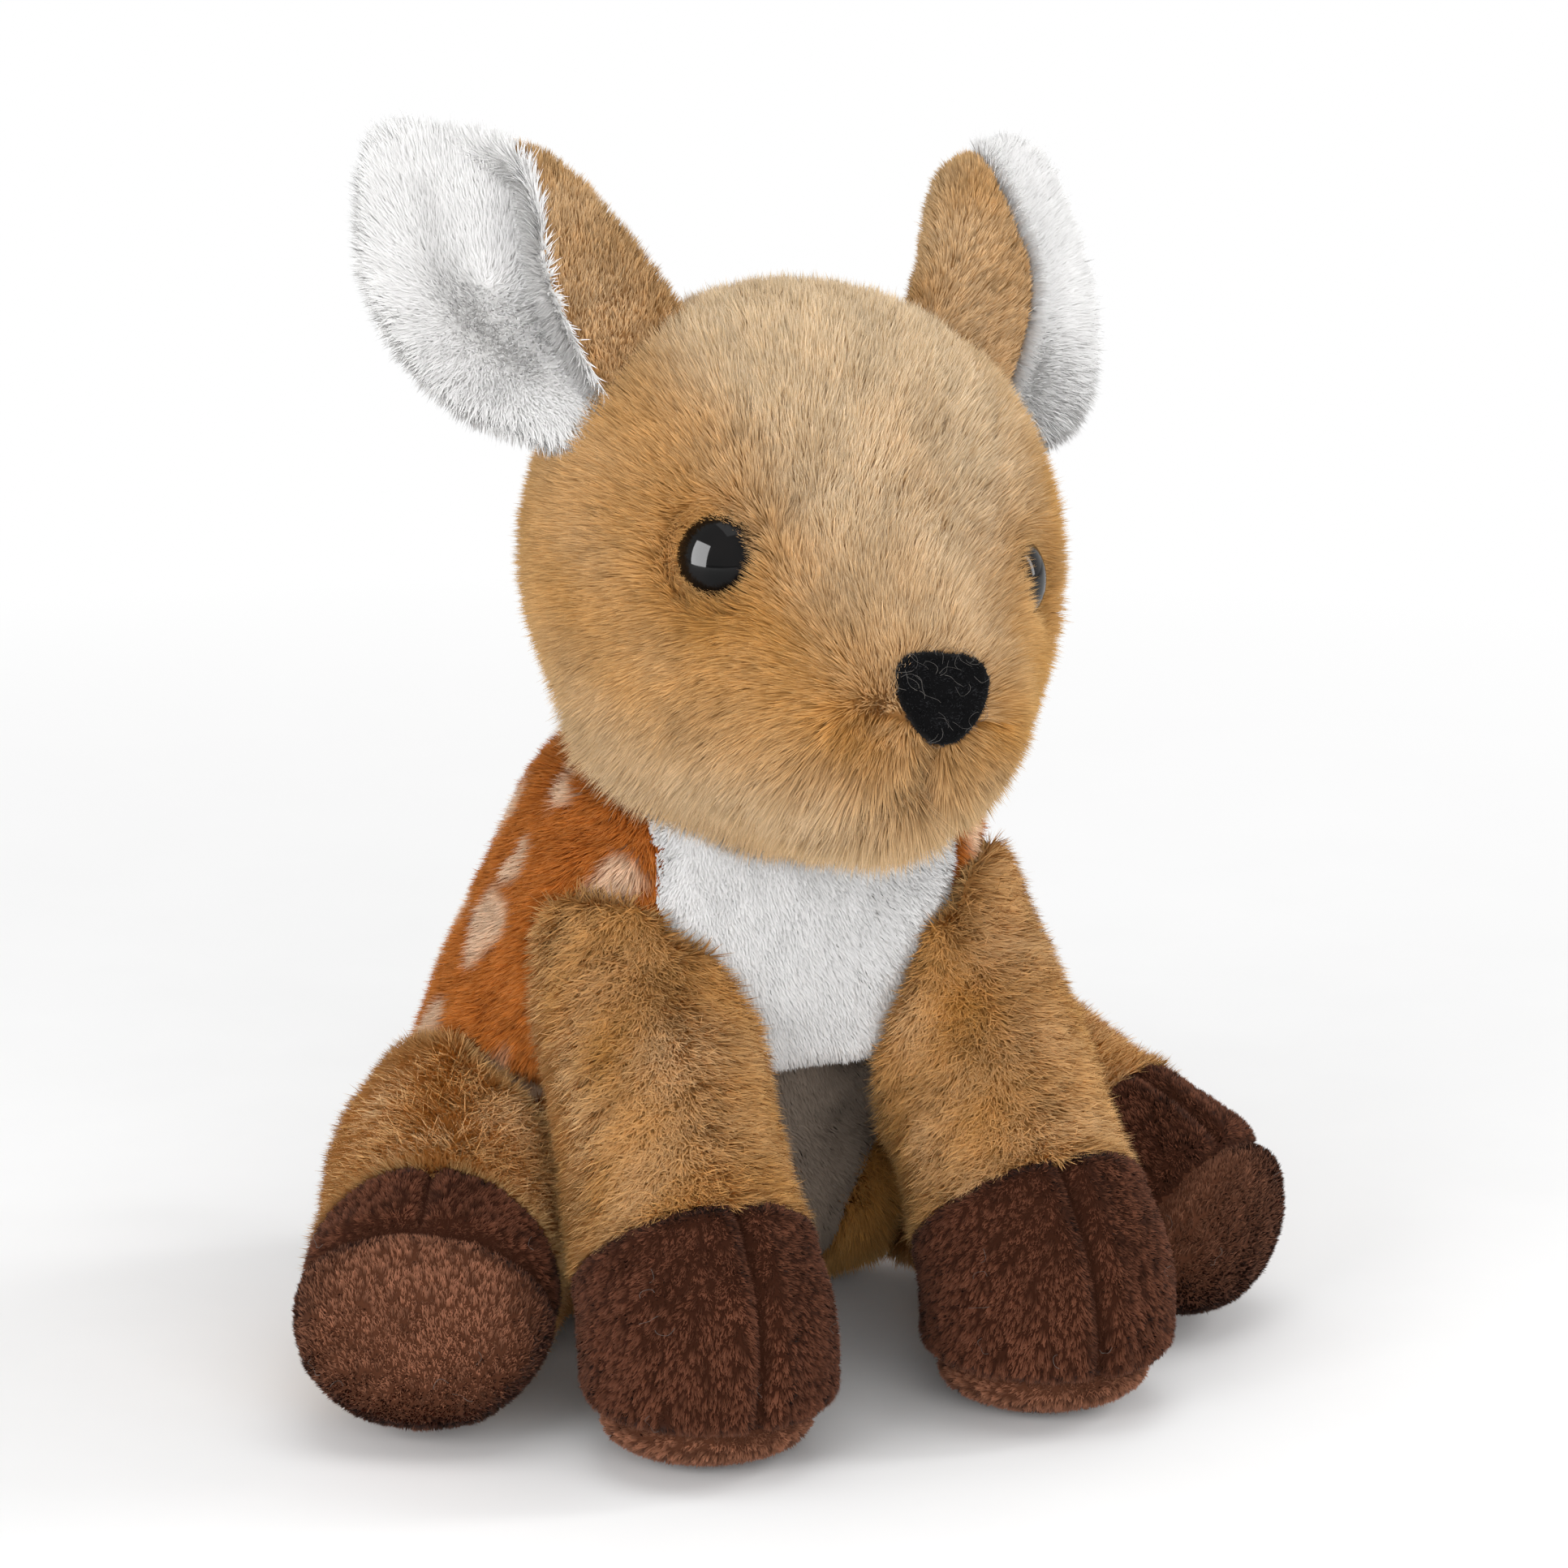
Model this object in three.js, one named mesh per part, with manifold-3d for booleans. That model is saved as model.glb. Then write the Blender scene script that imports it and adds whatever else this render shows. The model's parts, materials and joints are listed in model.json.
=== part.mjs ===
// A plush fawn that sits on its rump, with its front legs set down before it.
// Millimetres. It faces -Y, its left side is +X, and the floor is z = 0.
// The origin is the middle of the flat that the seat rests on.
// Every stuffed form is a fabric skin, cut into sewn panels, round its own stuffing.

import * as THREE from "three";
import { mergeVertices } from "three/addons/utils/BufferGeometryUtils.js";
import Module from "manifold-3d";

const wasm = await Module();
wasm.setup();

// Fabric and clearances
const PLUSH = 3.0; // thickness of the long-pile fabric
const VELOUR = 2.4; // thickness of the short-pile hoof fabric
const SEAM_GAP = 0.4; // between two panels along a seam
const FIT_GAP = 0.3; // between a skin and its stuffing
const LIMB_GAP = 0.5; // between a limb and the body it is sewn to
const FLOOR_CUT = 0.5; // how far the floor flattens what rests on it

// Body: height, centre line, half width and half depth at five levels
const BODY_LEVELS = [
  { z: 7, y: 20, wide: 38, deep: 25 },
  { z: 24, y: 12, wide: 49, deep: 40 },
  { z: 52, y: 4, wide: 48, deep: 42 },
  { z: 78, y: -6, wide: 41, deep: 38 },
  { z: 97, y: -13, wide: 36, deep: 33 },
];
const BODY_BOTTOM_DOME = 7 + FLOOR_CUT;
const BODY_TOP_DOME = 11;
const SEAT_TOP = 11; // seam between the seat panel and the panels above it
const BELLY_TOP = 53; // seam between the belly and the bib
const FRONT_START = -21; // the white front lies ahead of this
const BIB_HALF_TOP = 30; // half width of the white front at the neck
const BIB_HALF_LOW = 17; // and at the seat
const BIB_STRAIGHT = 30; // its edges are straight from this far above the belly
const BIB_SWELL = 4; // and swell by this much beside the belly
const PELLETS_TOP = 24; // the pellet bag fills the body up to here

// Head: a ball that runs forward into a short muzzle, held in a cup at the top of the body
const HEAD_RADIUS = 43.4;
const HEAD_AT = new THREE.Vector3(0, -30, 135);
const HEAD_TILT = THREE.MathUtils.degToRad(10); // its left side hangs lower
const MUZZLE_REACH = 58; // from the middle of the head to the front of the muzzle
const MUZZLE_DROP = 16;
const MUZZLE_HALF = 20;
const NECK_CLEARANCE = 1.2; // between the ball and the cup
const NECK_OPENING = 17; // radius of the hole in the head's skin above the body
const GUSSET_HALF_TOP = 21; // half width of the forehead gusset over the crown
const GUSSET_HALF_NOSE = 8; // and where it ends at the nose
const CHIN_HALF = 13;

// Eyes and nose: domes on stems, each held by a washer behind the fabric
const EYE_RADIUS = 7;
const EYE_DOME = 4.5;
const EYE_TURN = THREE.MathUtils.degToRad(44.5); // from straight ahead to the side
const EYE_LIFT = THREE.MathUtils.degToRad(4.5); // above the middle of the head
const EYE_SET_IN = 5.45; // from the ball of the head in to the back of the eye
const STEM_RADIUS = 2.2;
const STEM_LENGTH = 9;
const WASHER_RADIUS = 6.5;
const WASHER_THICK = 1.6;
const NOSE_WIDTH = 17;
const NOSE_HEIGHT = 14.5;
const NOSE_THICK = 3;

// Ears: a tan back and a white lining, both bent to a cup
const EAR_LENGTH = 46;
const EAR_HALF_WIDTH = 20;
const EAR_ROOT_HALF = 17;
const EAR_THICK = 3.4; // half the thickness of the back, with its folded edge
const LINING_THICK = 2.4; // half the thickness of the lining
const EAR_CUP = 7; // how far the outer edge of the ear stands before its middle
const EAR_FOLD = 14; // and how far the inner edge does
const EAR_SIDE = THREE.MathUtils.degToRad(52.5); // from the crown down to the ear's root
const EAR_BACK = THREE.MathUtils.degToRad(14); // the root's turn towards the back of the head
const EAR_LEVEL = THREE.MathUtils.degToRad(4); // the ears are sewn on more level than the face
const EAR_WAY = new THREE.Vector3(0.41, 0.71, 0.57).normalize(); // left ear, root to tip
const EAR_SEAM = new THREE.Vector3(-0.7, 0.21, 0.68); // left ear, up along its sewn edge

// Front legs: left one, from the shoulder to the hoof
const FRONT_LINE = [
  { x: 26, y: -24, z: 74, wide: 16, deep: 15 },
  { x: 27.6, y: -38, z: 55, wide: 18, deep: 17.5 },
  { x: 28.6, y: -51, z: 36, wide: 18.4, deep: 18.5 },
  { x: 29.3, y: -60.5, z: 23, wide: 20.8, deep: 21.5 },
  { x: 29.3, y: -62.5, z: 13, wide: 20.8, deep: 21.5 },
];
const FRONT_TOP_DOME = 13;
const FRONT_HOOF_DOME = 13 + FLOOR_CUT;
const FRONT_ANKLE = 0.57; // where along the leg the hoof begins
const FRONT_SOLE = 8.5; // height of the seam round the sole

// Hind legs: left one, from the hip to the sole, which faces forward
const HIP = new THREE.Vector3(32, 18, 29);
const HIND_WAY = new THREE.Vector3(0.54, -0.84, 0).normalize();
const HIND_LINE = [
  { along: 6, z: 28, wide: 15, deep: 22 },
  { along: 27, z: 28, wide: 23, deep: 28 + FLOOR_CUT },
  { along: 45, z: 25, wide: 20.5, deep: 23.5 },
  { along: 55, z: 22.5, wide: 20.5, deep: 20.3 },
  { along: 65, z: 20.5, wide: 21, deep: 18.2 },
  { along: 72, z: 18.2, wide: 20, deep: 15 },
];
const HIP_DOME = 9;
const HIND_SOLE_DOME = 6;
const HIND_ANKLE = 54; // where along the leg the hoof begins
const HIND_SOLE = 71; // where along the leg the sole begins

// Tail
const TAIL_LENGTH = 27;
const TAIL_HALF = 8;
const TAIL_THICK = 4;
const TAIL_HEIGHT = 40;
const TAIL_RISE = THREE.MathUtils.degToRad(42);

// Colours
const TAN = "#b98b52";
const LIGHT_TAN = "#cfae80";
const RUST = "#8a4a24";
const WHITE = "#e9e7e2";
const HOOF = "#3f271d";
const SOLE = "#553527";
const FILL = "#f1efe8";
const PELLET_CLOTH = "#d9d5c8";
const BLACK = "#0c0b0b";
const NOSE_BLACK = "#1b1a1b";
const NYLON = "#e6e4da";

const X = new THREE.Vector3(1, 0, 0);
const Y = new THREE.Vector3(0, 1, 0);
const Z = new THREE.Vector3(0, 0, 1);

function cloth(colour) {
  return new THREE.MeshStandardMaterial({ color: colour, roughness: 0.95, metalness: 0 });
}

function plastic(colour, roughness) {
  return new THREE.MeshStandardMaterial({ color: colour, roughness, metalness: 0 });
}

// Turns a closed geometry into a solid that can be cut.
function solid(geometry) {
  const bare = geometry.clone();
  bare.deleteAttribute("normal");
  bare.deleteAttribute("uv");
  const merged = mergeVertices(bare, 1e-4);
  const shape = {
    numProp: 3,
    vertProperties: Float32Array.from(merged.attributes.position.array),
    triVerts: Uint32Array.from(merged.index.array),
  };
  return new wasm.Manifold(new wasm.Mesh(shape));
}

// Turns a cut solid into a named mesh.
function piece(name, shape, material) {
  const data = shape.getMesh();
  const geometry = new THREE.BufferGeometry();
  geometry.setAttribute("position", new THREE.BufferAttribute(data.vertProperties, 3));
  geometry.setIndex(new THREE.BufferAttribute(data.triVerts, 1));
  geometry.computeVertexNormals();
  const mesh = new THREE.Mesh(geometry, material);
  mesh.name = name;
  return mesh;
}

// Keeps the part of a solid that lies beyond a plane, on the side its normal points to.
function beyond(shape, normal, distance) {
  return shape.trimByPlane(normal.toArray(), distance);
}

// Cuts a solid in two along a seam, and leaves the seam gap between the halves.
function seam(shape, normal, distance) {
  const ahead = beyond(shape, normal, distance + SEAM_GAP / 2);
  const behind = beyond(shape, normal.clone().negate(), SEAM_GAP / 2 - distance);
  return [ahead, behind];
}

// The two axes of a ring that lies across a direction.
function ringAxes(direction, across) {
  const wide = across.clone().addScaledVector(direction, -across.dot(direction)).normalize();
  const deep = direction.clone().cross(wide);
  return { wide, deep };
}

// A swelling, tapering form with a rounded dome at each end.
// Each station has a place, a half width and a half depth. Growth moves the whole surface out.
function stuffedForm(form, growth = 0) {
  const { stations, steps, sides, across, along, domes } = form;
  const places = new THREE.CatmullRomCurve3(stations.map((station) => station.at));
  const sizes = new THREE.CatmullRomCurve3(
    stations.map((station) => new THREE.Vector3(station.wide, station.deep, 0)),
  );
  const rings = [];
  const ringAt = (centre, direction, size) => {
    const { wide, deep } = ringAxes(direction, across);
    const ring = [];
    for (let side = 0; side < sides; side += 1) {
      const angle = (2 * Math.PI * side) / sides;
      const point = centre.clone();
      point.addScaledVector(wide, size.x * Math.cos(angle));
      point.addScaledVector(deep, size.y * Math.sin(angle));
      ring.push(point);
    }
    rings.push(ring);
  };
  const directionAt = (t) => (along ? along.clone() : places.getTangent(t));
  const sizeAt = (t) => sizes.getPoint(t).add(new THREE.Vector3(growth, growth, 0));
  const domeSteps = 3;
  const domeRing = (t, height, step) => {
    const turn = (Math.PI / 2) * (step / domeSteps);
    const direction = directionAt(t);
    const reach = (t === 0 ? -1 : 1) * (height + growth) * Math.sin(turn);
    const centre = places.getPoint(t).addScaledVector(direction, reach);
    ringAt(centre, direction, sizeAt(t).multiplyScalar(Math.cos(turn)));
  };
  for (let step = domeSteps - 1; step > 0; step -= 1) {
    domeRing(0, domes[0], step);
  }
  for (let step = 0; step <= steps; step += 1) {
    const t = step / steps;
    ringAt(places.getPoint(t), directionAt(t), sizeAt(t));
  }
  for (let step = 1; step < domeSteps; step += 1) {
    domeRing(1, domes[1], step);
  }
  const start = places.getPoint(0).addScaledVector(directionAt(0), -(domes[0] + growth));
  const end = places.getPoint(1).addScaledVector(directionAt(1), domes[1] + growth);
  return closeRings(rings, start, end);
}

// Joins rings of points into one closed skin that ends in a point at each end.
function closeRings(rings, start, end) {
  const sides = rings[0].length;
  const points = [start, ...rings.flat(), end];
  const last = points.length - 1;
  const at = (ring, side) => 1 + ring * sides + (side % sides);
  const faces = [];
  for (let side = 0; side < sides; side += 1) {
    faces.push(0, at(0, side + 1), at(0, side));
    for (let ring = 0; ring < rings.length - 1; ring += 1) {
      faces.push(at(ring, side), at(ring, side + 1), at(ring + 1, side));
      faces.push(at(ring, side + 1), at(ring + 1, side + 1), at(ring + 1, side));
    }
    faces.push(last, at(rings.length - 1, side), at(rings.length - 1, side + 1));
  }
  const geometry = new THREE.BufferGeometry();
  geometry.setFromPoints(points);
  geometry.setIndex(faces);
  return geometry;
}

// A form as three nested solids: its outside, its fabric skin and the stuffing within.
function skinAndFill(form, fabric) {
  const outside = solid(stuffedForm(form));
  const skin = outside.subtract(solid(stuffedForm(form, -fabric)));
  const coarse = { ...form, sides: form.sides / 2 };
  const fill = solid(stuffedForm(coarse, -fabric - FIT_GAP));
  return { outside, skin, fill };
}

// A round bar between two distances along a direction.
function bar(at, direction, radius, from, to) {
  const geometry = new THREE.CylinderGeometry(radius, radius, to - from, 18);
  geometry.translate(0, (from + to) / 2, 0);
  const turn = new THREE.Quaternion().setFromUnitVectors(Y, direction);
  geometry.applyQuaternion(turn);
  geometry.translate(at.x, at.y, at.z);
  return solid(geometry);
}

// A turned shape about a direction. The profile lists radius and distance along it.
function turned(at, direction, profile) {
  const points = profile.map(([radius, reach]) => new THREE.Vector2(radius, reach));
  const geometry = new THREE.LatheGeometry(points, 18);
  const turn = new THREE.Quaternion().setFromUnitVectors(Y, direction);
  geometry.applyQuaternion(turn);
  geometry.translate(at.x, at.y, at.z);
  return solid(geometry);
}

const toy = new THREE.Group();
toy.name = "plush_fawn";

// Body

const bodyForm = {
  stations: BODY_LEVELS.map((level) => ({
    at: new THREE.Vector3(0, level.y, level.z),
    wide: level.wide,
    deep: level.deep,
  })),
  steps: 7,
  sides: 20,
  across: X,
  along: Z,
  domes: [BODY_BOTTOM_DOME, BODY_TOP_DOME],
};
const body = skinAndFill(bodyForm, PLUSH);
const bodyKeepOut = solid(stuffedForm(bodyForm, LIMB_GAP));

// The cup that the head turns in.
const neckCup = new THREE.SphereGeometry(HEAD_RADIUS + NECK_CLEARANCE, 24, 14);
neckCup.rotateX(Math.PI / 2);
neckCup.translate(HEAD_AT.x, HEAD_AT.y, HEAD_AT.z);
const cup = solid(neckCup);

const bodySkin = beyond(body.skin.subtract(cup), Z, 0);
const [bodyUpper, seatPanel] = seam(bodySkin, Z, SEAT_TOP);

// The white front, as seen from ahead: wide at the neck and narrower at the seat. Its outline is cut
// through the body from behind the front to well past it.
const pastFront = 3 * Math.max(...BODY_LEVELS.map((level) => level.deep));
function frontOutline(inset) {
  const outline = new THREE.Shape();
  const topZ = HEAD_AT.z;
  const low = BIB_HALF_LOW - inset;
  const high = BIB_HALF_TOP - inset;
  outline.moveTo(-low, 0);
  outline.lineTo(low, 0);
  const swollen = low + BIB_SWELL;
  const straightZ = BELLY_TOP + BIB_STRAIGHT;
  outline.bezierCurveTo(swollen, BELLY_TOP / 2, high, BELLY_TOP, high, straightZ);
  outline.lineTo(high, topZ);
  outline.lineTo(-high, topZ);
  outline.lineTo(-high, straightZ);
  outline.bezierCurveTo(-high, BELLY_TOP, -swollen, BELLY_TOP / 2, -low, 0);
  const settings = { depth: pastFront, bevelEnabled: false, curveSegments: 6 };
  const geometry = new THREE.ExtrudeGeometry(outline, settings);
  geometry.rotateX(Math.PI / 2);
  geometry.translate(0, FRONT_START, 0);
  return solid(geometry);
}
const front = bodyUpper.intersect(frontOutline(SEAM_GAP / 2));
const back = bodyUpper.subtract(frontOutline(-SEAM_GAP / 2));
const [bibPanel, bellyPanel] = seam(front, Z, BELLY_TOP);
const [backLeft, backRight] = seam(back, X, 0);
const bodyFill = body.fill.subtract(cup);
const [bodyStuffing, pelletBag] = seam(bodyFill, Z, PELLETS_TOP);

toy.add(piece("back_panel_left", backLeft, cloth(RUST)));
toy.add(piece("back_panel_right", backRight, cloth(RUST)));
toy.add(piece("bib_panel", bibPanel, cloth(WHITE)));
toy.add(piece("belly_panel", bellyPanel, cloth(WHITE)));
toy.add(piece("seat_panel", seatPanel, cloth(TAN)));
toy.add(piece("body_stuffing", bodyStuffing, cloth(FILL)));
toy.add(piece("pellet_bag", pelletBag, cloth(PELLET_CLOTH)));

// Head, in its own frame: the middle of the ball at the origin, the face towards -Y

const head = new THREE.Group();
head.name = "head";
head.position.copy(HEAD_AT);
head.rotation.y = HEAD_TILT;
head.updateMatrixWorld();

const ballAt = (y) => Math.sqrt(HEAD_RADIUS * HEAD_RADIUS - y * y);
const headStation = (y, drop, wide, deep) => ({ at: new THREE.Vector3(0, y, -drop), wide, deep });
const R = HEAD_RADIUS;
const muzzleDome = 9;
const muzzleEnd = muzzleDome - MUZZLE_REACH;
const headForm = {
  stations: [
    headStation(0.72 * R, 0, ballAt(0.72 * R), ballAt(0.72 * R)),
    headStation(0.4 * R, 0, ballAt(0.4 * R), ballAt(0.4 * R)),
    headStation(0.04 * R, 0, R, R),
    headStation(-0.36 * R, 0.03 * R, 0.92 * R, 0.9 * R),
    headStation(-0.66 * R, 0.42 * MUZZLE_DROP, 0.75 * R, 0.75 * R),
    headStation(-0.9 * R, 0.85 * MUZZLE_DROP, 1.25 * MUZZLE_HALF, 1.2 * MUZZLE_HALF),
    headStation(muzzleEnd, MUZZLE_DROP, MUZZLE_HALF, 0.9 * MUZZLE_HALF),
  ],
  steps: 11,
  sides: 18,
  across: X,
  along: Y.clone().negate(),
  domes: [0.28 * R, muzzleDome],
};
const headSolids = skinAndFill(headForm, PLUSH);

// The neck opening in the skin, filled by a plug of the head's own stuffing.
const down = Z.clone().negate().applyAxisAngle(Y, -HEAD_TILT);
const neckHole = bar(new THREE.Vector3(), down, NECK_OPENING, 0.5 * R, 1.2 * R);
const neckPlug = bar(new THREE.Vector3(), down, NECK_OPENING - FIT_GAP, 0.5 * R, 1.2 * R);
let headFill = headSolids.fill.add(headSolids.outside.intersect(neckPlug));
let headSkin = headSolids.skin.subtract(neckHole);

// The forehead gusset, as seen from ahead, from the nose up and over the crown.
function gussetOutline(inset) {
  const top = GUSSET_HALF_TOP - inset;
  const low = GUSSET_HALF_NOSE - inset;
  const noseZ = 4 - MUZZLE_DROP;
  const outline = new THREE.Shape();
  outline.moveTo(-low, noseZ + inset);
  outline.lineTo(low, noseZ + inset);
  outline.bezierCurveTo(low + 3, 0.1 * R, top, 0.3 * R, top, 0.75 * R);
  outline.lineTo(top, 1.3 * R);
  outline.lineTo(-top, 1.3 * R);
  outline.lineTo(-top, 0.75 * R);
  outline.bezierCurveTo(-top, 0.3 * R, -low - 3, 0.1 * R, -low, noseZ + inset);
  const settings = { depth: 4 * R, bevelEnabled: false, curveSegments: 6 };
  const geometry = new THREE.ExtrudeGeometry(outline, settings);
  geometry.rotateX(Math.PI / 2);
  geometry.translate(0, 2 * R, 0);
  return solid(geometry);
}

// The chin panel runs from under the nose back along the throat.
function chinOutline(inset) {
  const half = CHIN_HALF - inset;
  const outline = new THREE.Shape();
  outline.moveTo(half, -MUZZLE_DROP - 8 - inset);
  outline.absarc(0, -MUZZLE_DROP - 8 - inset, half, 0, Math.PI, false);
  outline.lineTo(-half, -1.3 * R);
  outline.lineTo(half, -1.3 * R);
  const settings = { depth: 2 * R, bevelEnabled: false, curveSegments: 8 };
  const geometry = new THREE.ExtrudeGeometry(outline, settings);
  geometry.rotateX(Math.PI / 2);
  geometry.translate(0, -0.1 * R, 0);
  return solid(geometry);
}

// An eye: its place on the cheek and the way it looks.
function eyeAxis(side) {
  const ahead = Math.cos(EYE_TURN) * Math.cos(EYE_LIFT);
  const aside = Math.sin(EYE_TURN) * Math.cos(EYE_LIFT);
  const place = new THREE.Vector3(side * aside, -ahead, Math.sin(EYE_LIFT));
  place.multiplyScalar(HEAD_RADIUS - EYE_SET_IN);
  const way = new THREE.Vector3(side * 0.74, -0.66, 0.12).normalize();
  return { place, way };
}
const eyeProfile = [
  [0, -STEM_LENGTH],
  [STEM_RADIUS, -STEM_LENGTH],
  [STEM_RADIUS, 0],
  [EYE_RADIUS * 0.9, 0],
  [EYE_RADIUS, 0.6],
  [EYE_RADIUS * 0.93, EYE_DOME * 0.45],
  [EYE_RADIUS * 0.72, EYE_DOME * 0.76],
  [EYE_RADIUS * 0.38, EYE_DOME * 0.95],
  [0, EYE_DOME],
];
const washerProfile = [
  [STEM_RADIUS + FIT_GAP, 0],
  [WASHER_RADIUS, 0],
  [WASHER_RADIUS, WASHER_THICK],
  [STEM_RADIUS + FIT_GAP, WASHER_THICK],
  [STEM_RADIUS + FIT_GAP, 0],
];
const seatDepth = 2.5; // how far an eye is pulled into the fabric
const washerBack = PLUSH + seatDepth + 2 * FIT_GAP + WASHER_THICK;

// Cuts the seat, the stem hole and the washer pocket of an eye or the nose.
function fitButton(place, way, seatRadius, seatFrom) {
  const seat = bar(place, way, seatRadius + FIT_GAP, seatFrom - FIT_GAP, 12);
  const stem = bar(place, way, STEM_RADIUS + FIT_GAP, -STEM_LENGTH - FIT_GAP, 12);
  const pocketEnd = -STEM_LENGTH - FIT_GAP;
  const pocket = bar(place, way, WASHER_RADIUS + FIT_GAP, pocketEnd, -PLUSH - FIT_GAP);
  headSkin = headSkin.subtract(seat).subtract(stem).subtract(pocket);
  headFill = headFill.subtract(seat).subtract(stem).subtract(pocket);
}

const washerAt = (place, way) => place.clone().addScaledVector(way, -washerBack + seatDepth);
const buttons = [];
for (const [side, word] of [[1, "left"], [-1, "right"]]) {
  const { place, way } = eyeAxis(side);
  fitButton(place, way, EYE_RADIUS, 0);
  const eye = turned(place, way, eyeProfile);
  const washer = turned(washerAt(place, way), way, washerProfile);
  buttons.push(piece(`eye_${word}`, eye, plastic(BLACK, 0.08)));
  buttons.push(piece(`eye_washer_${word}`, washer, plastic(NYLON, 0.5)));
}

// The nose: a rounded triangle, broad above, on a stem.
const noseWay = new THREE.Vector3(0, -0.94, 0.34).normalize();
const nosePlace = new THREE.Vector3(0, 2.6 - MUZZLE_REACH, 5.5 - MUZZLE_DROP);
const noseShape = new THREE.Shape();
const noseHalf = NOSE_WIDTH / 2 - 1;
const noseTop = NOSE_HEIGHT * 0.42;
const noseLow = -NOSE_HEIGHT * 0.5;
noseShape.moveTo(0, noseLow);
noseShape.bezierCurveTo(noseHalf * 0.45, noseLow, noseHalf, noseLow * 0.2, noseHalf, noseTop * 0.4);
noseShape.bezierCurveTo(noseHalf, noseTop, noseHalf * 0.6, noseTop, 0, noseTop);
noseShape.bezierCurveTo(-noseHalf * 0.6, noseTop, -noseHalf, noseTop, -noseHalf, noseTop * 0.4);
noseShape.bezierCurveTo(-noseHalf, noseLow * 0.2, -noseHalf * 0.45, noseLow, 0, noseLow);
const noseBody = new THREE.ExtrudeGeometry(noseShape, {
  depth: NOSE_THICK - 1,
  bevelThickness: 1,
  bevelSize: 1,
  bevelSegments: 2,
  curveSegments: 5,
});
noseBody.rotateX(Math.PI / 2);
const noseTurn = Math.asin(noseWay.z);
noseBody.rotateX(-noseTurn);
noseBody.translate(nosePlace.x, nosePlace.y, nosePlace.z);
const noseStem = bar(nosePlace, noseWay, STEM_RADIUS, -STEM_LENGTH, 1);
const nose = solid(noseBody).add(noseStem);
fitButton(nosePlace, noseWay, NOSE_WIDTH / 2 + 1, -1);
buttons.push(piece("nose", nose, plastic(NOSE_BLACK, 0.9)));
const noseWasher = turned(washerAt(nosePlace, noseWay), noseWay, washerProfile);
buttons.push(piece("nose_washer", noseWasher, plastic(NYLON, 0.5)));

const gusset = headSkin.intersect(gussetOutline(SEAM_GAP / 2));
const chin = headSkin.intersect(chinOutline(SEAM_GAP / 2));
const cheeks = headSkin.subtract(gussetOutline(-SEAM_GAP / 2)).subtract(chinOutline(-SEAM_GAP / 2));
const [cheekLeft, cheekRight] = seam(cheeks, X, 0);
head.add(piece("forehead_gusset", gusset, cloth(LIGHT_TAN)));
head.add(piece("cheek_panel_left", cheekLeft, cloth(TAN)));
head.add(piece("cheek_panel_right", cheekRight, cloth(TAN)));
head.add(piece("chin_panel", chin, cloth(TAN)));
head.add(piece("head_stuffing", headFill, cloth(FILL)));
head.add(...buttons);

// Ears: the root of each is round about the line that it folds on, just clear of the head.

const earOut = new THREE.Vector3(Math.sin(EAR_SIDE), 0, Math.cos(EAR_SIDE)).applyAxisAngle(Z, EAR_BACK);
const earRoot = earOut.clone().multiplyScalar(R + EAR_THICK);

function earLeaf(start, thick, shrink, lift) {
  const span = EAR_LENGTH - start - shrink;
  const station = (part, wide) => ({
    at: new THREE.Vector3(0, 0, start + span * part),
    wide: wide - shrink,
    deep: thick,
  });
  const form = {
    stations: [
      station(0, EAR_ROOT_HALF),
      station(0.24, EAR_HALF_WIDTH),
      station(0.5, EAR_HALF_WIDTH * 0.93),
      station(0.74, EAR_HALF_WIDTH * 0.71),
      station(0.93, EAR_HALF_WIDTH * 0.38),
    ],
    steps: 7,
    sides: 12,
    across: X,
    along: Z,
    domes: [thick, thick],
  };
  const geometry = stuffedForm(form);
  const points = geometry.attributes.position;
  const point = new THREE.Vector3();
  for (let index = 0; index < points.count; index += 1) {
    point.fromBufferAttribute(points, index);
    const reach = THREE.MathUtils.smoothstep(point.z, 2, EAR_LENGTH * 0.45);
    const edge = point.x / EAR_HALF_WIDTH;
    const depth = edge > 0 ? EAR_FOLD : EAR_CUP;
    point.y += lift + depth * reach * edge * edge;
    points.setXYZ(index, point.x, point.y, point.z);
  }
  return geometry;
}

// The ear's frame: up along its sewn edge, the way its lining looks, and from root to tip.
function placeEar(geometry) {
  const edge = EAR_SEAM.clone().addScaledVector(earOut, -EAR_SEAM.dot(earOut)).normalize();
  const look = EAR_WAY.clone().cross(edge).normalize();
  const frame = new THREE.Matrix4().makeBasis(edge, look, EAR_WAY);
  frame.setPosition(earRoot);
  return geometry.applyMatrix4(frame);
}

const liningLift = EAR_THICK + LINING_THICK + 3 * FIT_GAP;
const earBack = solid(placeEar(earLeaf(0, EAR_THICK, 0, 0)));
const earLining = solid(placeEar(earLeaf(7, LINING_THICK, 0.8, liningLift)));
for (const [side, word] of [[1, "left"], [-1, "right"]]) {
  const ear = new THREE.Group();
  ear.name = `ear_${word}`;
  ear.scale.x = side;
  ear.rotation.y = -EAR_LEVEL;
  ear.add(piece(`ear_back_${word}`, earBack, cloth(TAN)));
  ear.add(piece(`ear_lining_${word}`, earLining, cloth(WHITE)));
  head.add(ear);
}
toy.add(head);

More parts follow.
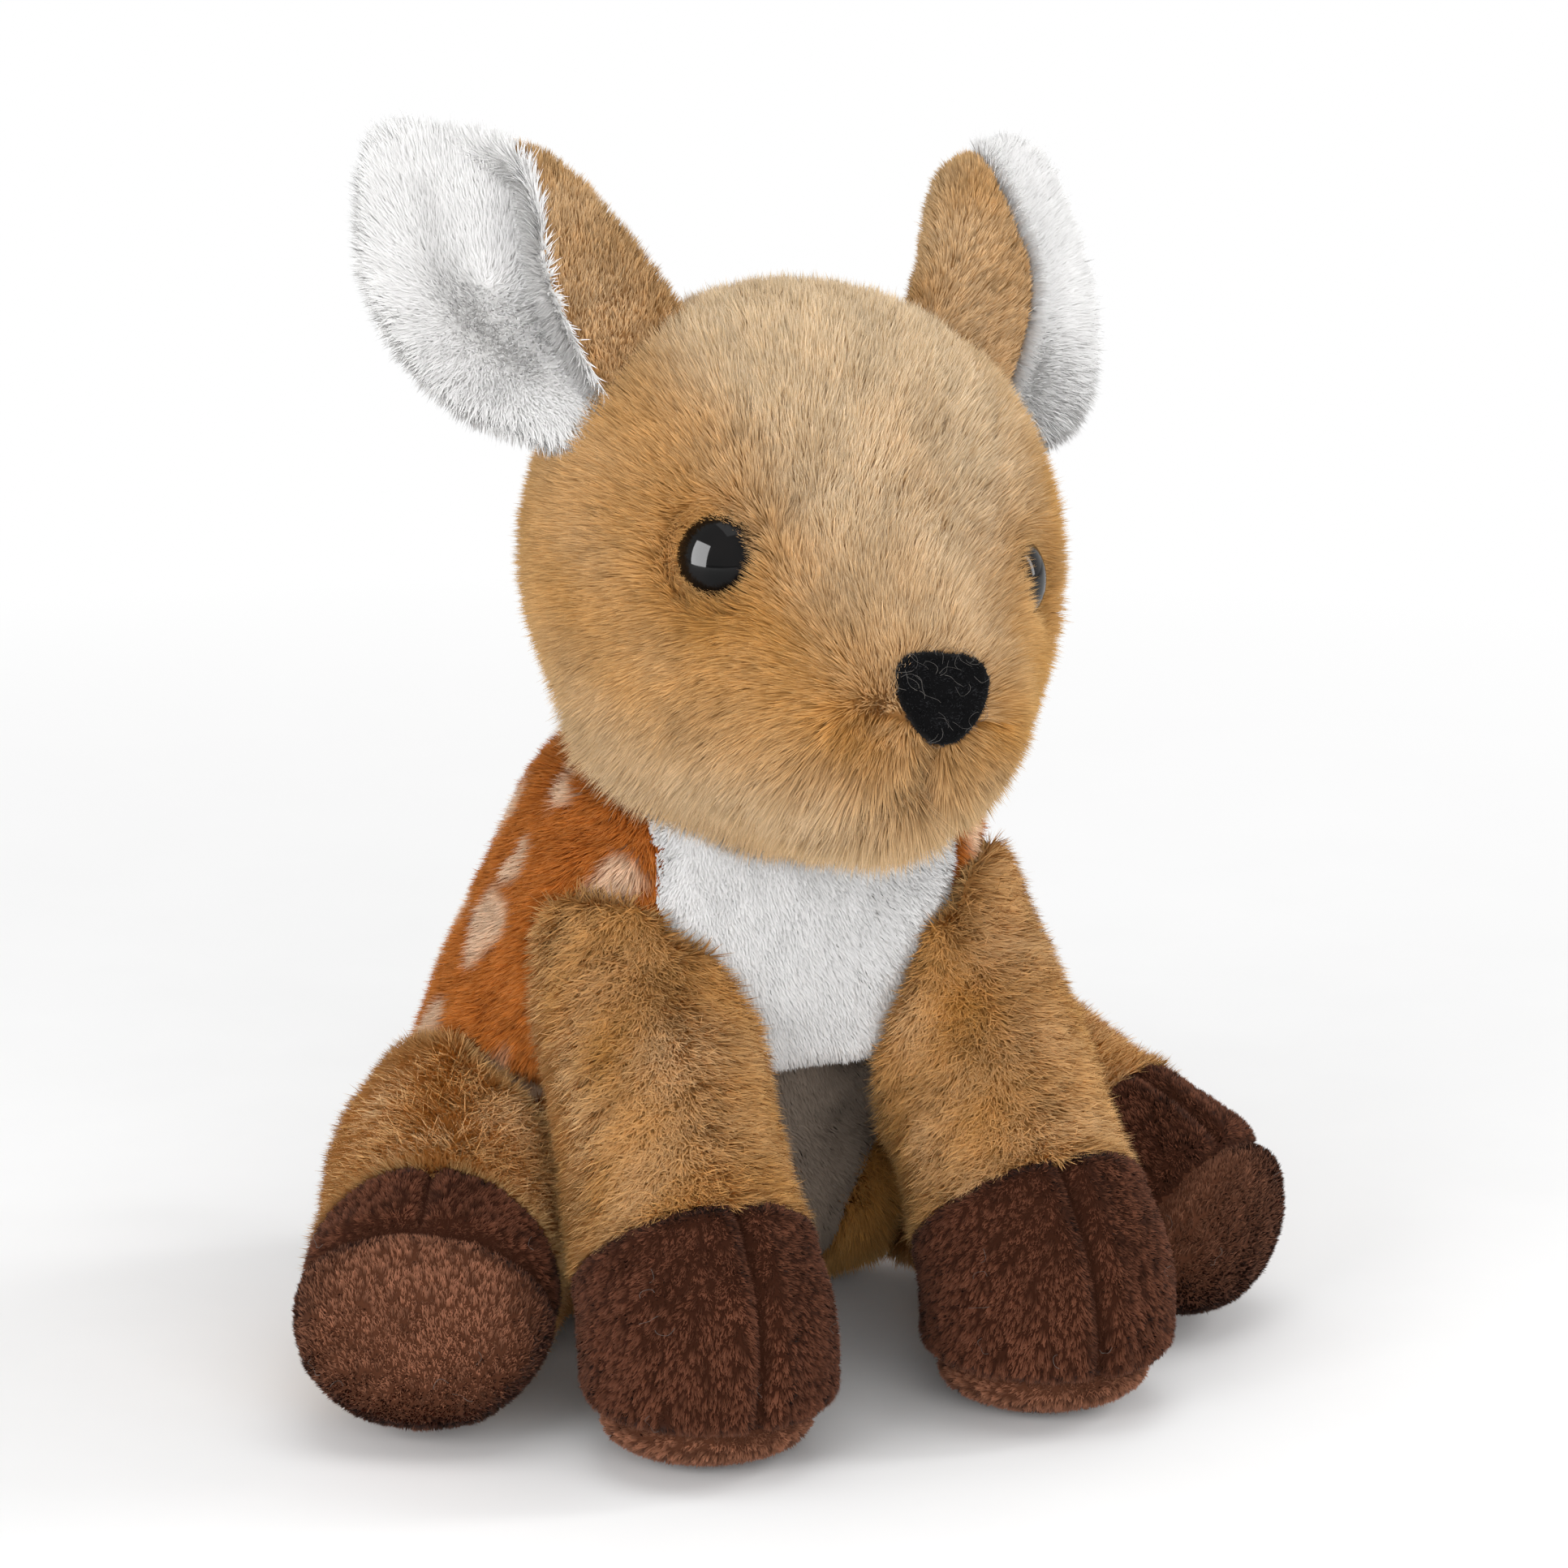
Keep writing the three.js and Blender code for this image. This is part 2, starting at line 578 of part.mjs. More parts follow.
// A leg: fur panels above the ankle, two hoof halves and a sole below it, and its stuffing.
// Everything is cut back from the body, and what rests on the floor is cut flat.
function leg(form, cuts, names, side) {
  const fur = skinAndFill(form, PLUSH);
  const hoofSkin = fur.outside.subtract(solid(stuffedForm(form, -VELOUR)));
  const clear = (shape) => beyond(shape.subtract(bodyKeepOut), Z, 0);
  const [, furTube] = seam(fur.skin, cuts.ankleWay, cuts.ankle);
  const [hoofTube] = seam(hoofSkin, cuts.ankleWay, cuts.ankle);
  const [sole, hoof] = seam(hoofTube, cuts.soleWay, cuts.sole);
  const [furOuter, furInner] = seam(clear(furTube), cuts.middleWay, cuts.middle);
  const [hoofOuter, hoofInner] = seam(clear(hoof), cuts.middleWay, cuts.middle);
  const group = new THREE.Group();
  const word = side > 0 ? "left" : "right";
  group.name = `${names}_leg_${word}`;
  group.scale.x = side;
  group.add(piece(`${names}_leg_outer_${word}`, furOuter, cloth(TAN)));
  group.add(piece(`${names}_leg_inner_${word}`, furInner, cloth(TAN)));
  group.add(piece(`${names}_hoof_outer_${word}`, hoofOuter, cloth(HOOF)));
  group.add(piece(`${names}_hoof_inner_${word}`, hoofInner, cloth(HOOF)));
  group.add(piece(`${names}_sole_${word}`, clear(sole), cloth(SOLE)));
  group.add(piece(`${names}_leg_stuffing_${word}`, clear(fur.fill), cloth(FILL)));
  return group;
}

const frontForm = {
  stations: FRONT_LINE.map((point) => ({
    at: new THREE.Vector3(point.x, point.y, point.z),
    wide: point.wide,
    deep: point.deep,
  })),
  steps: 8,
  sides: 12,
  across: X,
  domes: [FRONT_TOP_DOME, FRONT_HOOF_DOME],
};
const frontCurve = new THREE.CatmullRomCurve3(frontForm.stations.map((station) => station.at));
const frontFall = frontForm.stations.at(-1).at.clone().sub(frontForm.stations[0].at);
const frontMiddleWay = frontFall.cross(Y).normalize();
const frontAnkleWay = frontCurve.getTangent(FRONT_ANKLE);
const frontCuts = {
  ankleWay: frontAnkleWay,
  ankle: frontCurve.getPoint(FRONT_ANKLE).dot(frontAnkleWay),
  soleWay: Z.clone().negate(),
  sole: -FRONT_SOLE,
  middleWay: frontMiddleWay,
  middle: frontForm.stations[0].at.dot(frontMiddleWay),
};

const hindForm = {
  stations: HIND_LINE.map((point) => ({
    at: new THREE.Vector3(HIP.x, HIP.y, point.z).addScaledVector(HIND_WAY, point.along),
    wide: point.wide,
    deep: point.deep,
  })),
  steps: 9,
  sides: 12,
  across: Z.clone().cross(HIND_WAY),
  along: HIND_WAY,
  domes: [HIP_DOME, HIND_SOLE_DOME],
};
const hindMiddleWay = HIND_WAY.clone().cross(Z).negate();
const hindStart = HIP.dot(HIND_WAY);
const hindCuts = {
  ankleWay: HIND_WAY,
  ankle: hindStart + HIND_ANKLE,
  soleWay: HIND_WAY,
  sole: hindStart + HIND_SOLE,
  middleWay: hindMiddleWay,
  middle: HIP.dot(hindMiddleWay),
};

for (const side of [1, -1]) {
  toy.add(leg(frontForm, frontCuts, "front", side));
  toy.add(leg(hindForm, hindCuts, "hind", side));
}

// Tail: a flat leaf, tan above and white below, sewn into the middle of the back.

function bodyBackAt(height) {
  const levels = BODY_LEVELS;
  const above = levels.findIndex((level) => level.z > height);
  const low = levels[above - 1];
  const high = levels[above];
  const part = (height - low.z) / (high.z - low.z);
  return THREE.MathUtils.lerp(low.y + low.deep, high.y + high.deep, part);
}

function tailLeaf(start, lift) {
  const station = (part, wide) => ({
    at: new THREE.Vector3(0, 0, start + (TAIL_LENGTH - start) * part),
    wide: TAIL_HALF * wide,
    deep: TAIL_THICK / 2,
  });
  const form = {
    stations: [station(0, 0.7), station(0.4, 1), station(0.75, 0.85), station(0.95, 0.4)],
    steps: 5,
    sides: 10,
    across: X,
    along: Z,
    domes: [TAIL_THICK / 2, TAIL_THICK / 2],
  };
  const geometry = stuffedForm(form);
  geometry.translate(0, lift, 0);
  return geometry;
}

const tail = new THREE.Group();
tail.name = "tail";
tail.position.set(0, bodyBackAt(TAIL_HEIGHT) + TAIL_THICK / 2 + 2 * FIT_GAP, TAIL_HEIGHT);
tail.rotation.x = TAIL_RISE - Math.PI / 2;
tail.add(piece("tail_top", solid(tailLeaf(0, 0)), cloth(RUST)));
tail.add(piece("tail_underside", solid(tailLeaf(6, TAIL_THICK + FIT_GAP)), cloth(WHITE)));
toy.add(tail);

// The lowest level of the body is above the middle of the flat seat.
toy.position.y = -BODY_LEVELS[0].y;

export default toy;
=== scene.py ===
# %% [markdown]
# # A plush fawn that sits
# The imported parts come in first. They give every piece its place, so nothing here is fitted by eye.
# The sizes below are in millimetres, because a toy's fabric and pile are thought of that way.

# %% Load the frame
import json
import math

import bmesh
import bpy
import numpy as np
from mathutils import Matrix, Vector
from mathutils.bvhtree import BVHTree
from mathutils.kdtree import KDTree

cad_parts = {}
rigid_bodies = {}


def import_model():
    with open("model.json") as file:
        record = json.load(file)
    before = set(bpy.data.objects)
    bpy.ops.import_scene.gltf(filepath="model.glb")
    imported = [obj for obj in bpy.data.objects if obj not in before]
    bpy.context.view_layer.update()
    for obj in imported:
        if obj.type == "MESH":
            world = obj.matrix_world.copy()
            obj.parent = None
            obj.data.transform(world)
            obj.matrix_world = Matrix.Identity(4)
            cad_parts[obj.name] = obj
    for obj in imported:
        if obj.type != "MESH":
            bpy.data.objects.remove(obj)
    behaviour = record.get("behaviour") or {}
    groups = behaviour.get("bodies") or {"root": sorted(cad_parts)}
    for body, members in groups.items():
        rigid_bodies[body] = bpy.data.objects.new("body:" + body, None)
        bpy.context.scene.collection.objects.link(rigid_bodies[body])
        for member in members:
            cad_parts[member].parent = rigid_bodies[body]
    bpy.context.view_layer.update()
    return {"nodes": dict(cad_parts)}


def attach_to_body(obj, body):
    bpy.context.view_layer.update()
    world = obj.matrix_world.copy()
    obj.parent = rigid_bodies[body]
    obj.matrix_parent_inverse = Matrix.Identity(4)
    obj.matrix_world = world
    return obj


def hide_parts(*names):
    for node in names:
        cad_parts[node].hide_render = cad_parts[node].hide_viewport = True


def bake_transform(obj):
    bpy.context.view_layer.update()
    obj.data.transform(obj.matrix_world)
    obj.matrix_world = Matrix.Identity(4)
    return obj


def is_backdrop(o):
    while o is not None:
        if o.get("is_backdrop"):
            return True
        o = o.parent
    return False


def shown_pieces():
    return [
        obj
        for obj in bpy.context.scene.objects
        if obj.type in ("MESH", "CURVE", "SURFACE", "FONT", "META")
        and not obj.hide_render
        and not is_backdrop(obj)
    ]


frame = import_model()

NODES = frame["nodes"]
MM = 0.001
SEED = 20
print("parts:", len(NODES))

# %% [markdown]
# ## Small helpers for colours and shader nodes
# Colours are written as they look on a screen, and one function turns them into the linear values that
# a shader needs. A second function adds a node and fills its sockets, so a material reads as a list.
# Patterns are sized in millimetres too, and a third function gives the scale that a noise needs for that.

# %% Colours and nodes
def linear(code):
    """A screen colour such as "#b98b52" as linear values."""
    parts = [int(code[k:k + 2], 16) / 255 for k in (1, 3, 5)]
    return tuple(c / 12.92 if c <= 0.04045 else ((c + 0.055) / 1.055) ** 2.4 for c in parts) + (1.0,)


def add(tree, kind, settings=None, inputs=None, stops=()):
    """Adds a node. An input is a value or another node's socket. A ramp has (place, colour) stops."""
    node = tree.nodes.new(kind)
    for key, value in (settings or {}).items():
        setattr(node, key, value)
    for key, value in (inputs or {}).items():
        if isinstance(value, bpy.types.NodeSocket):
            tree.links.new(value, node.inputs[key])
        else:
            node.inputs[key].default_value = value
    while stops and len(node.color_ramp.elements) < len(stops):
        node.color_ramp.elements.new(0.5)
    for k, (place, code) in enumerate(stops):
        node.color_ramp.elements[k].position = place
        node.color_ramp.elements[k].color = linear(code)
    return node


def scale_for(size):
    """The noise scale whose features are about this size in millimetres."""
    return 1 / (size * MM)


def scaled(tree, colour, factor, low, high):
    """A colour made darker or lighter by a factor that runs from 0 to 1."""
    span = add(tree, "ShaderNodeMapRange", None, {"Value": factor, "To Min": low, "To Max": high})
    mix = add(tree, "ShaderNodeMix", {"data_type": "RGBA", "blend_type": "MULTIPLY"},
              {0: 1.0, 6: colour, 7: span.outputs["Result"]})
    return mix.outputs[2]


def new_material(name):
    """An empty material, and the tree that its nodes go in."""
    material = bpy.data.materials.new(name)
    material.use_nodes = True
    material.node_tree.nodes.clear()
    return material, material.node_tree


def finish_material(tree, shader):
    """Shows a shader on the surface."""
    add(tree, "ShaderNodeOutputMaterial", None, {"Surface": shader.outputs[0]})


# %% [markdown]
# ## Plush, velour and flock
# A pile fabric looks the way it does because each fibre is dark and saturated at its root, which is painted
# shade for the depth of the pile, and pale at its tip. Each fibre made below carries three numbers: how far
# along it a point is, its own tone, and how far it takes the fabric's second colours, which are paler, but on
# the belly are painted shade. The fabrics read them, so no picture is needed. A fibre shows no gloss of its
# own, only sheen: the glow of many soft edges.

# %% Fabrics
LOCK_SIZE, LOCK_CHANGE = 3.85, 0.1  # mm, and the share by which one lock differs from the next


def pile_material(name, stops, contrast, roughness, sheen, glow, pale_stops=None):
    """A pile fabric: its colours from root to tip, and how far its fibres differ in tone."""
    material, tree = new_material(name)
    tip = add(tree, "ShaderNodeAttribute", {"attribute_name": "tip"}).outputs["Fac"]
    tone = add(tree, "ShaderNodeAttribute", {"attribute_name": "tone"}).outputs["Fac"]
    colour = add(tree, "ShaderNodeValToRGB", None, {"Fac": tip}, stops).outputs["Color"]
    if pale_stops:
        pale = add(tree, "ShaderNodeAttribute", {"attribute_name": "pale"}).outputs["Fac"]
        paler = add(tree, "ShaderNodeValToRGB", None, {"Fac": tip}, pale_stops).outputs["Color"]
        mix = add(tree, "ShaderNodeMix", {"data_type": "RGBA"}, {0: pale, 6: colour, 7: paler})
        colour = mix.outputs[2]
    colour = scaled(tree, colour, tone, 1 - contrast, 1 + contrast)
    place = add(tree, "ShaderNodeTexCoord").outputs["Object"]
    locks = add(tree, "ShaderNodeTexNoise", None, {
        "Vector": place, "Scale": scale_for(LOCK_SIZE), "Detail": 2.0})
    colour = scaled(tree, colour, locks.outputs["Fac"], 1 - LOCK_CHANGE, 1 + LOCK_CHANGE)
    shader = add(tree, "ShaderNodeBsdfPrincipled", None, {
        "Base Color": colour, "Roughness": roughness, "Specular IOR Level": 0.0,
        "Sheen Weight": sheen, "Sheen Roughness": 0.5, "Sheen Tint": linear(glow)})
    finish_material(tree, shader)
    return material


TAN = [(0.0, "#875929"), (0.35, "#a06e35"), (0.75, "#b17e42"), (1.0, "#c4995e")]
LIGHT_TAN = [(0.0, "#8e653d"), (0.35, "#bf9c72"), (0.75, "#d1b792"), (1.0, "#e0ccb1")]
RUST = [(0.0, "#5c280b"), (0.35, "#984e1c"), (0.75, "#b4682d"), (1.0, "#c9864d")]
SPOT = [(0.0, "#a3795a"), (0.35, "#d0a685"), (0.75, "#e2bf9f"), (1.0, "#eed4ba")]
WHITE = [(0.0, "#dad9d7"), (0.35, "#e4e3e2"), (0.75, "#ebeae9"), (1.0, "#f0f0ef")]
# painted shade: the belly's white plush greyed as the shade under the bib and between the legs
BELLY_PAINTED_SHADE = [(0.0, "#827568"), (0.35, "#8d7e71"), (0.75, "#97887a"), (1.0, "#a19283")]
HOOF = [(0.0, "#26120b"), (0.35, "#4d2d1f"), (0.75, "#633d2d"), (1.0, "#734c3a")]
# the soles are the hoof's velour; their paler colours are painted light falling on them
SOLE_PAINTED_LIGHT = [(0.0, "#3d2216"), (0.35, "#6c4431"), (0.75, "#8a5c46"), (1.0, "#9e6e57")]
FLOCK = [(0.0, "#050505"), (0.5, "#131314"), (1.0, "#3a3a3c")]

FABRICS = {  # colours from root to tip, contrast, roughness, sheen, its tint and the paler colours
    # long acrylic plush: locks that part and close, and a warm glow where the pile turns away
    "tan_plush": (TAN, 0.45, 0.85, 0.65, "#ebc184", LIGHT_TAN),
    "light_tan_plush": (TAN, 0.45, 0.85, 0.3, "#e8c08a", LIGHT_TAN),
    # printed plush: a rust ground with soft-edged spots, darker at the root with painted shade deep in the
    # pile
    "rust_print_plush": (RUST, 0.4, 0.8, 0.2, "#d98a4a", SPOT),
    # short dense plush: so even that it reads as one white; the grey on the belly is painted shade
    "white_plush": (WHITE, 0.08, 0.9, 0.1, "#ffffff", BELLY_PAINTED_SHADE),
    # sheared velour: tight tufts with dark gaps, which are partly painted shade, and hardly any glow
    "hoof_velour": (HOOF, 0.55, 0.85, 0.04, "#ffffff"),
    # the sole: the hoof's velour, painted paler where light falls on it
    "sole_velour": (SOLE_PAINTED_LIGHT, 0.5, 0.85, 0.04, "#ffffff"),
    # electrostatic flock: very short fibres that swallow the light
    "nose_flock": (FLOCK, 0.3, 0.9, 0.05, "#ffffff"),
}
MATERIALS = {name: pile_material(name, *looks) for name, looks in FABRICS.items()}
print("fabrics:", ", ".join(MATERIALS))

# %% [markdown]
# ## Plastic and lint
# The eyes are moulded in black plastic and polished, so nearly all that the eye sees in them is a window
# mirrored in a dark ball. Lint is a loose hair of another colour, and it shows best on the dark fabrics.

# %% Plastic and lint
MOULD_WAVE, LINT_CHANGE = 5.6, 2.5  # mm


def eye_material():
    """Black moulded plastic under a clear polish, with the faint waves of a moulding."""
    material, tree = new_material("polished_black_plastic")
    place = add(tree, "ShaderNodeTexCoord").outputs["Object"]
    waves = add(tree, "ShaderNodeTexNoise", None, {
        "Vector": place, "Scale": scale_for(MOULD_WAVE), "Detail": 1.0})
    black = add(tree, "ShaderNodeValToRGB", None, {"Fac": waves.outputs["Fac"]},
                [(0.3, "#050505"), (0.7, "#0c0a0a")])
    bump = add(tree, "ShaderNodeBump", None, {
        "Strength": 0.02, "Distance": 0.2 * MM, "Height": waves.outputs["Fac"]})
    shader = add(tree, "ShaderNodeBsdfPrincipled", None, {
        "Base Color": black.outputs["Color"], "Roughness": 0.05, "Specular IOR Level": 0.15,
        "Normal": bump.outputs["Normal"]})
    finish_material(tree, shader)
    return material


def lint_material():
    """Loose grey hairs, whose colour changes along their length."""
    material, tree = new_material("lint")
    place = add(tree, "ShaderNodeTexCoord").outputs["Object"]
    change = add(tree, "ShaderNodeTexNoise", None, {
        "Vector": place, "Scale": scale_for(LINT_CHANGE), "Detail": 2.0})
    grey = add(tree, "ShaderNodeValToRGB", None, {"Fac": change.outputs["Fac"]},
               [(0.3, "#35312f"), (0.7, "#6e6963")])
    shader = add(tree, "ShaderNodeBsdfPrincipled", None, {
        "Base Color": grey.outputs["Color"], "Roughness": 0.7})
    finish_material(tree, shader)
    return material


MATERIALS["eye_plastic"] = eye_material()
MATERIALS["lint"] = lint_material()
print("materials:", len(MATERIALS))

# %% [markdown]
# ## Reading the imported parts
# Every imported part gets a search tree, which finds the nearest place on it. That is how a point of a skin
# learns which panel it lies on, and how far the next form is. Points are kept as arrays in millimetres.

# %% Parts as search trees
def corners(mesh):
    """A mesh's corners in millimetres."""
    flat = np.zeros(len(mesh.vertices) * 3)
    mesh.vertices.foreach_get("co", flat)
    return flat.reshape(-1, 3) / MM


def search_tree(name):
    """A tree that finds the nearest place on a part."""
    mesh = NODES[name].data
    return BVHTree.FromPolygons([Vector(p) for p in corners(mesh)], [p.vertices[:] for p in mesh.polygons])


TREES = {name: search_tree(name) for name in NODES}


def distance_to(points, names):
    """Distance from each point to each named part."""
    found = [[TREES[name].find_nearest(Vector(p))[3] for p in points] for name in names]
    return np.array(found).reshape(len(names), len(points))


def nearest_of(points, centres):
    """Which centre is nearest to each point, and how far off it is."""
    tree = KDTree(len(centres))
    for k, p in enumerate(centres):
        tree.insert(Vector(p), k)
    tree.balance()
    found = [tree.find(Vector(p)) for p in points]
    return np.array([near[1] for near in found]), np.array([near[2] for near in found])


def unit(vectors):
    """Vectors of length 1."""
    return vectors / np.maximum(np.linalg.norm(vectors, axis=-1, keepdims=True), 1e-9)


def linked(name, data):
    """A new object in the scene."""
    thing = bpy.data.objects.new(name, data)
    bpy.context.scene.collection.objects.link(thing)
    return thing


def mesh_from(name, form):
    """A bmesh, made a mesh."""
    mesh = bpy.data.meshes.new(name)
    form.to_mesh(mesh)
    form.free()
    return mesh


print("search trees:", len(TREES))

# %% [markdown]
# ## Wrapping and stuffing
# A stuffed form is one skin with seams in it. The panels of a form are joined, wrapped in one even mesh
# and relaxed. Then cloth pressure puffs it out while its seams are pinned, which is what stuffing does to
# sewn fabric. Sculpting the same swell by hand would have to be done again after each change of a part.

# %% Wrapping and stuffing
PUFF_PRESSURE, PUFF_STEPS = 4.0, 20


def applied(thing):
    """Replaces an object's mesh by what its modifiers make of it."""
    shown = thing.evaluated_get(bpy.context.evaluated_depsgraph_get())
    mesh = bpy.data.meshes.new_from_object(shown)
    thing.modifiers.clear()
    thing.data = mesh


def keep_outer(mesh):
    """Keeps the outermost shell of a mesh, the one that reaches highest."""
    form = bmesh.new()
    form.from_mesh(mesh)
    shell, waiting = set(), [max(form.verts, key=lambda v: v.co.z)]
    while waiting:
        corner = waiting.pop()
        if corner not in shell:
            shell.add(corner)
            waiting.extend(edge.other_vert(corner) for edge in corner.link_edges)
    bmesh.ops.delete(form, geom=[v for v in form.verts if v not in shell], context="VERTS")
    form.to_mesh(mesh)
    form.free()


def wrapped(label, names, voxel):
    """One even closed mesh round the named parts."""
    joined = bmesh.new()
    for name in names:
        joined.from_mesh(NODES[name].data)
    thing = linked(label, mesh_from(label, joined))
    remesh = thing.modifiers.new("wrap", "REMESH")
    remesh.mode = "VOXEL"
    remesh.voxel_size = voxel * MM
    applied(thing)
    keep_outer(thing.data)
    return thing


def edges_of(mesh):
    """The pair of corners at the ends of each edge."""
    flat = np.zeros(len(mesh.edges) * 2, int)
    mesh.edges.foreach_get("vertices", flat)
    return flat.reshape(-1, 2)


def relaxed(values, edges, rounds, share=0.5):
    """Moves each value towards the mean of its neighbours."""
    degree = np.bincount(edges.ravel(), minlength=len(values)).astype(float)
    values = values.reshape(len(values), -1)
    for _ in range(rounds):
        total = np.zeros_like(values)
        np.add.at(total, edges[:, 0], values[edges[:, 1]])
        np.add.at(total, edges[:, 1], values[edges[:, 0]])
        values = values + share * (total / degree[:, None] - values)
    return values


def place_corners(mesh, points):
    """Moves a mesh's corners to places in millimetres."""
    mesh.vertices.foreach_set("co", (points * MM).ravel())
    mesh.update()


def puff(thing, seams, cap):
    """Blows a skin up between its seams, as stuffing does, by at most cap."""
    before = corners(thing.data)
    group = thing.vertex_groups.new(name="seams")
    group.add([int(k) for k in seams], 1.0, "REPLACE")
    cloth = thing.modifiers.new("stuffing", "CLOTH")
    cloth.settings.use_pressure = True
    cloth.settings.uniform_pressure_force = PUFF_PRESSURE
    cloth.settings.vertex_group_mass = "seams"
    cloth.settings.effector_weights.gravity = 0.0
    scene = bpy.context.scene
    for step in range(1, PUFF_STEPS + 1):
        scene.frame_set(step)
    applied(thing)
    scene.frame_set(1)
    moved = corners(thing.data) - before
    far = np.linalg.norm(moved, axis=1, keepdims=True)
    place_corners(thing.data, before + moved * np.minimum(1.0, cap / np.maximum(far, 1e-9)))
    return float(far.max())


print("stuffing: pressure", PUFF_PRESSURE, "for", PUFF_STEPS, "steps")

# %% [markdown]
# ## Skins
# A skin keeps, for each of its points, the panel that it belongs to, how far the nearest seam is and how
# much room the pile has before it meets another form. The skin is drawn in by the depth of the pile, so
# that the tips end where the part ends, and its seams are pressed in, as tight thread does.

# %% Skins
NO_SEAM, OPEN_ROOM = 99.0, 20.0  # mm, where there is no seam and where nothing is near
ROOM_REACH, ROOM_AHEAD = 9.0, 0.4  # how far ahead other forms are looked for, and the cosine of ahead
BESIDE_FROM, BESIDE_OVER, BESIDE_LEAST = 1.0, 7.0, 0.1  # mm, mm, and the least share of the depth
SWELL_AT, SWELL_WIDTH = 2.6, 1.4  # beside a seam, in widths of the seam


def normals_of(points, faces):
    """The mean direction of the triangles round each point."""
    a, b, c = (points[faces[:, k]] for k in range(3))
    turn = np.cross(b - a, c - a)
    total = np.zeros_like(points)
    for k in range(3):
        np.add.at(total, faces[:, k], turn)
    return unit(total)


def seam_distance(skin):
    """How far each point of a skin is from the nearest seam."""
    a, b = skin["edges"].T
    mixed = skin["panel"][a] != skin["panel"][b]
    if not mixed.any():
        return np.full(len(skin["points"]), NO_SEAM)
    line = (skin["points"][a[mixed]] + skin["points"][b[mixed]]) / 2
    return nearest_of(skin["points"], line)[1]


def find_room(skin, names):
    """How far the pile may stand at each point before it meets one of the named parts."""
    low, high = skin["points"].min(0) - ROOM_REACH, skin["points"].max(0) + ROOM_REACH
    for name in names:
        box = corners(NODES[name].data)
        if (box.max(0) < low).any() or (box.min(0) > high).any():
            continue
        for k, (point, normal) in enumerate(zip(skin["points"], skin["normals"])):
            place, _, _, gap = TREES[name].find_nearest(Vector(point))
            ahead = (Vector(place) - Vector(point)).dot(Vector(normal))
            if gap < skin["room"][k] and ahead > ROOM_AHEAD * gap:
                skin["room"][k] = gap


def reshape(skin, points):
    """Gives a skin new places for its points, and works out its normals again."""
    skin["points"] = points
    skin["normals"] = normals_of(points, skin["faces"])


def make_skin(label, panels, inner, voxel=4.0, cap=1.5):
    """The skin of one stuffed form, wrapped in cells of a voxel's size and puffed by at most cap, in mm."""
    thing = wrapped(label, panels + inner, voxel)
    edges = edges_of(thing.data)
    place_corners(thing.data, relaxed(corners(thing.data), edges, rounds=5))
    points = corners(thing.data)
    nearest = distance_to(points, panels).argmin(0)
    seams = np.unique(edges[nearest[edges[:, 0]] != nearest[edges[:, 1]]])
    swell = 0.0
    swell = puff(thing, seams, cap)
    smooth = thing.modifiers.new("smooth", "SUBSURF")
    smooth.levels = smooth.render_levels = 1
    applied(thing)
    mesh = thing.data
    mesh.calc_loop_triangles()
    faces = np.zeros(len(mesh.loop_triangles) * 3, int)
    mesh.loop_triangles.foreach_get("vertices", faces)
    skin = {"panels": panels, "faces": faces.reshape(-1, 3), "edges": edges_of(mesh)}
    reshape(skin, corners(mesh))
    bpy.data.objects.remove(thing)
    skin["which"] = lambda at: distance_to(at, panels).argmin(0)
    skin["panel"] = skin["which"](skin["points"])
    skin["seam"] = seam_distance(skin)
    skin["room"] = np.full(len(skin["points"]), OPEN_ROOM)
    print(label, "skin:", len(skin["points"]), "points, puffed up to", round(swell, 2), "mm")
    return skin


def draw_in(skin, depths, beside=()):
    """Draws the skin in by the depth that each panel's pile needs, and less beside another form."""
    depth = np.array([depths[name] for name in skin["panels"]])[skin["panel"]].astype(float)
    if beside:
        gap = distance_to(skin["points"], beside).min(0)
        depth *= np.clip((gap - BESIDE_FROM) / BESIDE_OVER, BESIDE_LEAST, 1)
    depth = relaxed(depth, skin["edges"], rounds=4)
    drawn = skin["points"] - depth * skin["normals"]
    reshape(skin, relaxed(drawn, skin["edges"], rounds=2))


def sew(skin, depth, width, bulge):
    """Draws the skin in along its seams, and lets it swell beside them."""
    line = np.exp(-(skin["seam"] / width) ** 2)
    beside = np.exp(-((skin["seam"] - SWELL_AT * width) / (SWELL_WIDTH * width)) ** 2)
    press(skin, depth * line - bulge * beside)


def press(skin, amount):
    """Presses the skin in by an amount for each point."""
    reshape(skin, skin["points"] - amount[:, None] * skin["normals"])


print("the pile has up to", OPEN_ROOM, "mm of room")

# %% [markdown]
# ## Sowing the pile
# Roots are sown evenly over a skin, so many to a square millimetre. A smooth noise, made of a few waves
# with seeded directions, lets the nap wander a little from place to place, as it does on a handled toy.

# %% Sowing
WAVES = 10


def smooth_noise(points, size, seed, width=1):
    """Smooth random values over space, that change over about this size."""
    dice = np.random.default_rng(seed)
    total = np.zeros((len(points), width))
    for _ in range(WAVES):
        wave = dice.normal(size=3)
        wave *= 2 * math.pi / size / np.linalg.norm(wave) * dice.uniform(0.6, 1.5)
        total += np.sin(points @ wave + dice.uniform(0, 2 * math.pi))[:, None] * dice.normal(size=width)
    return total / math.sqrt(WAVES / 2)


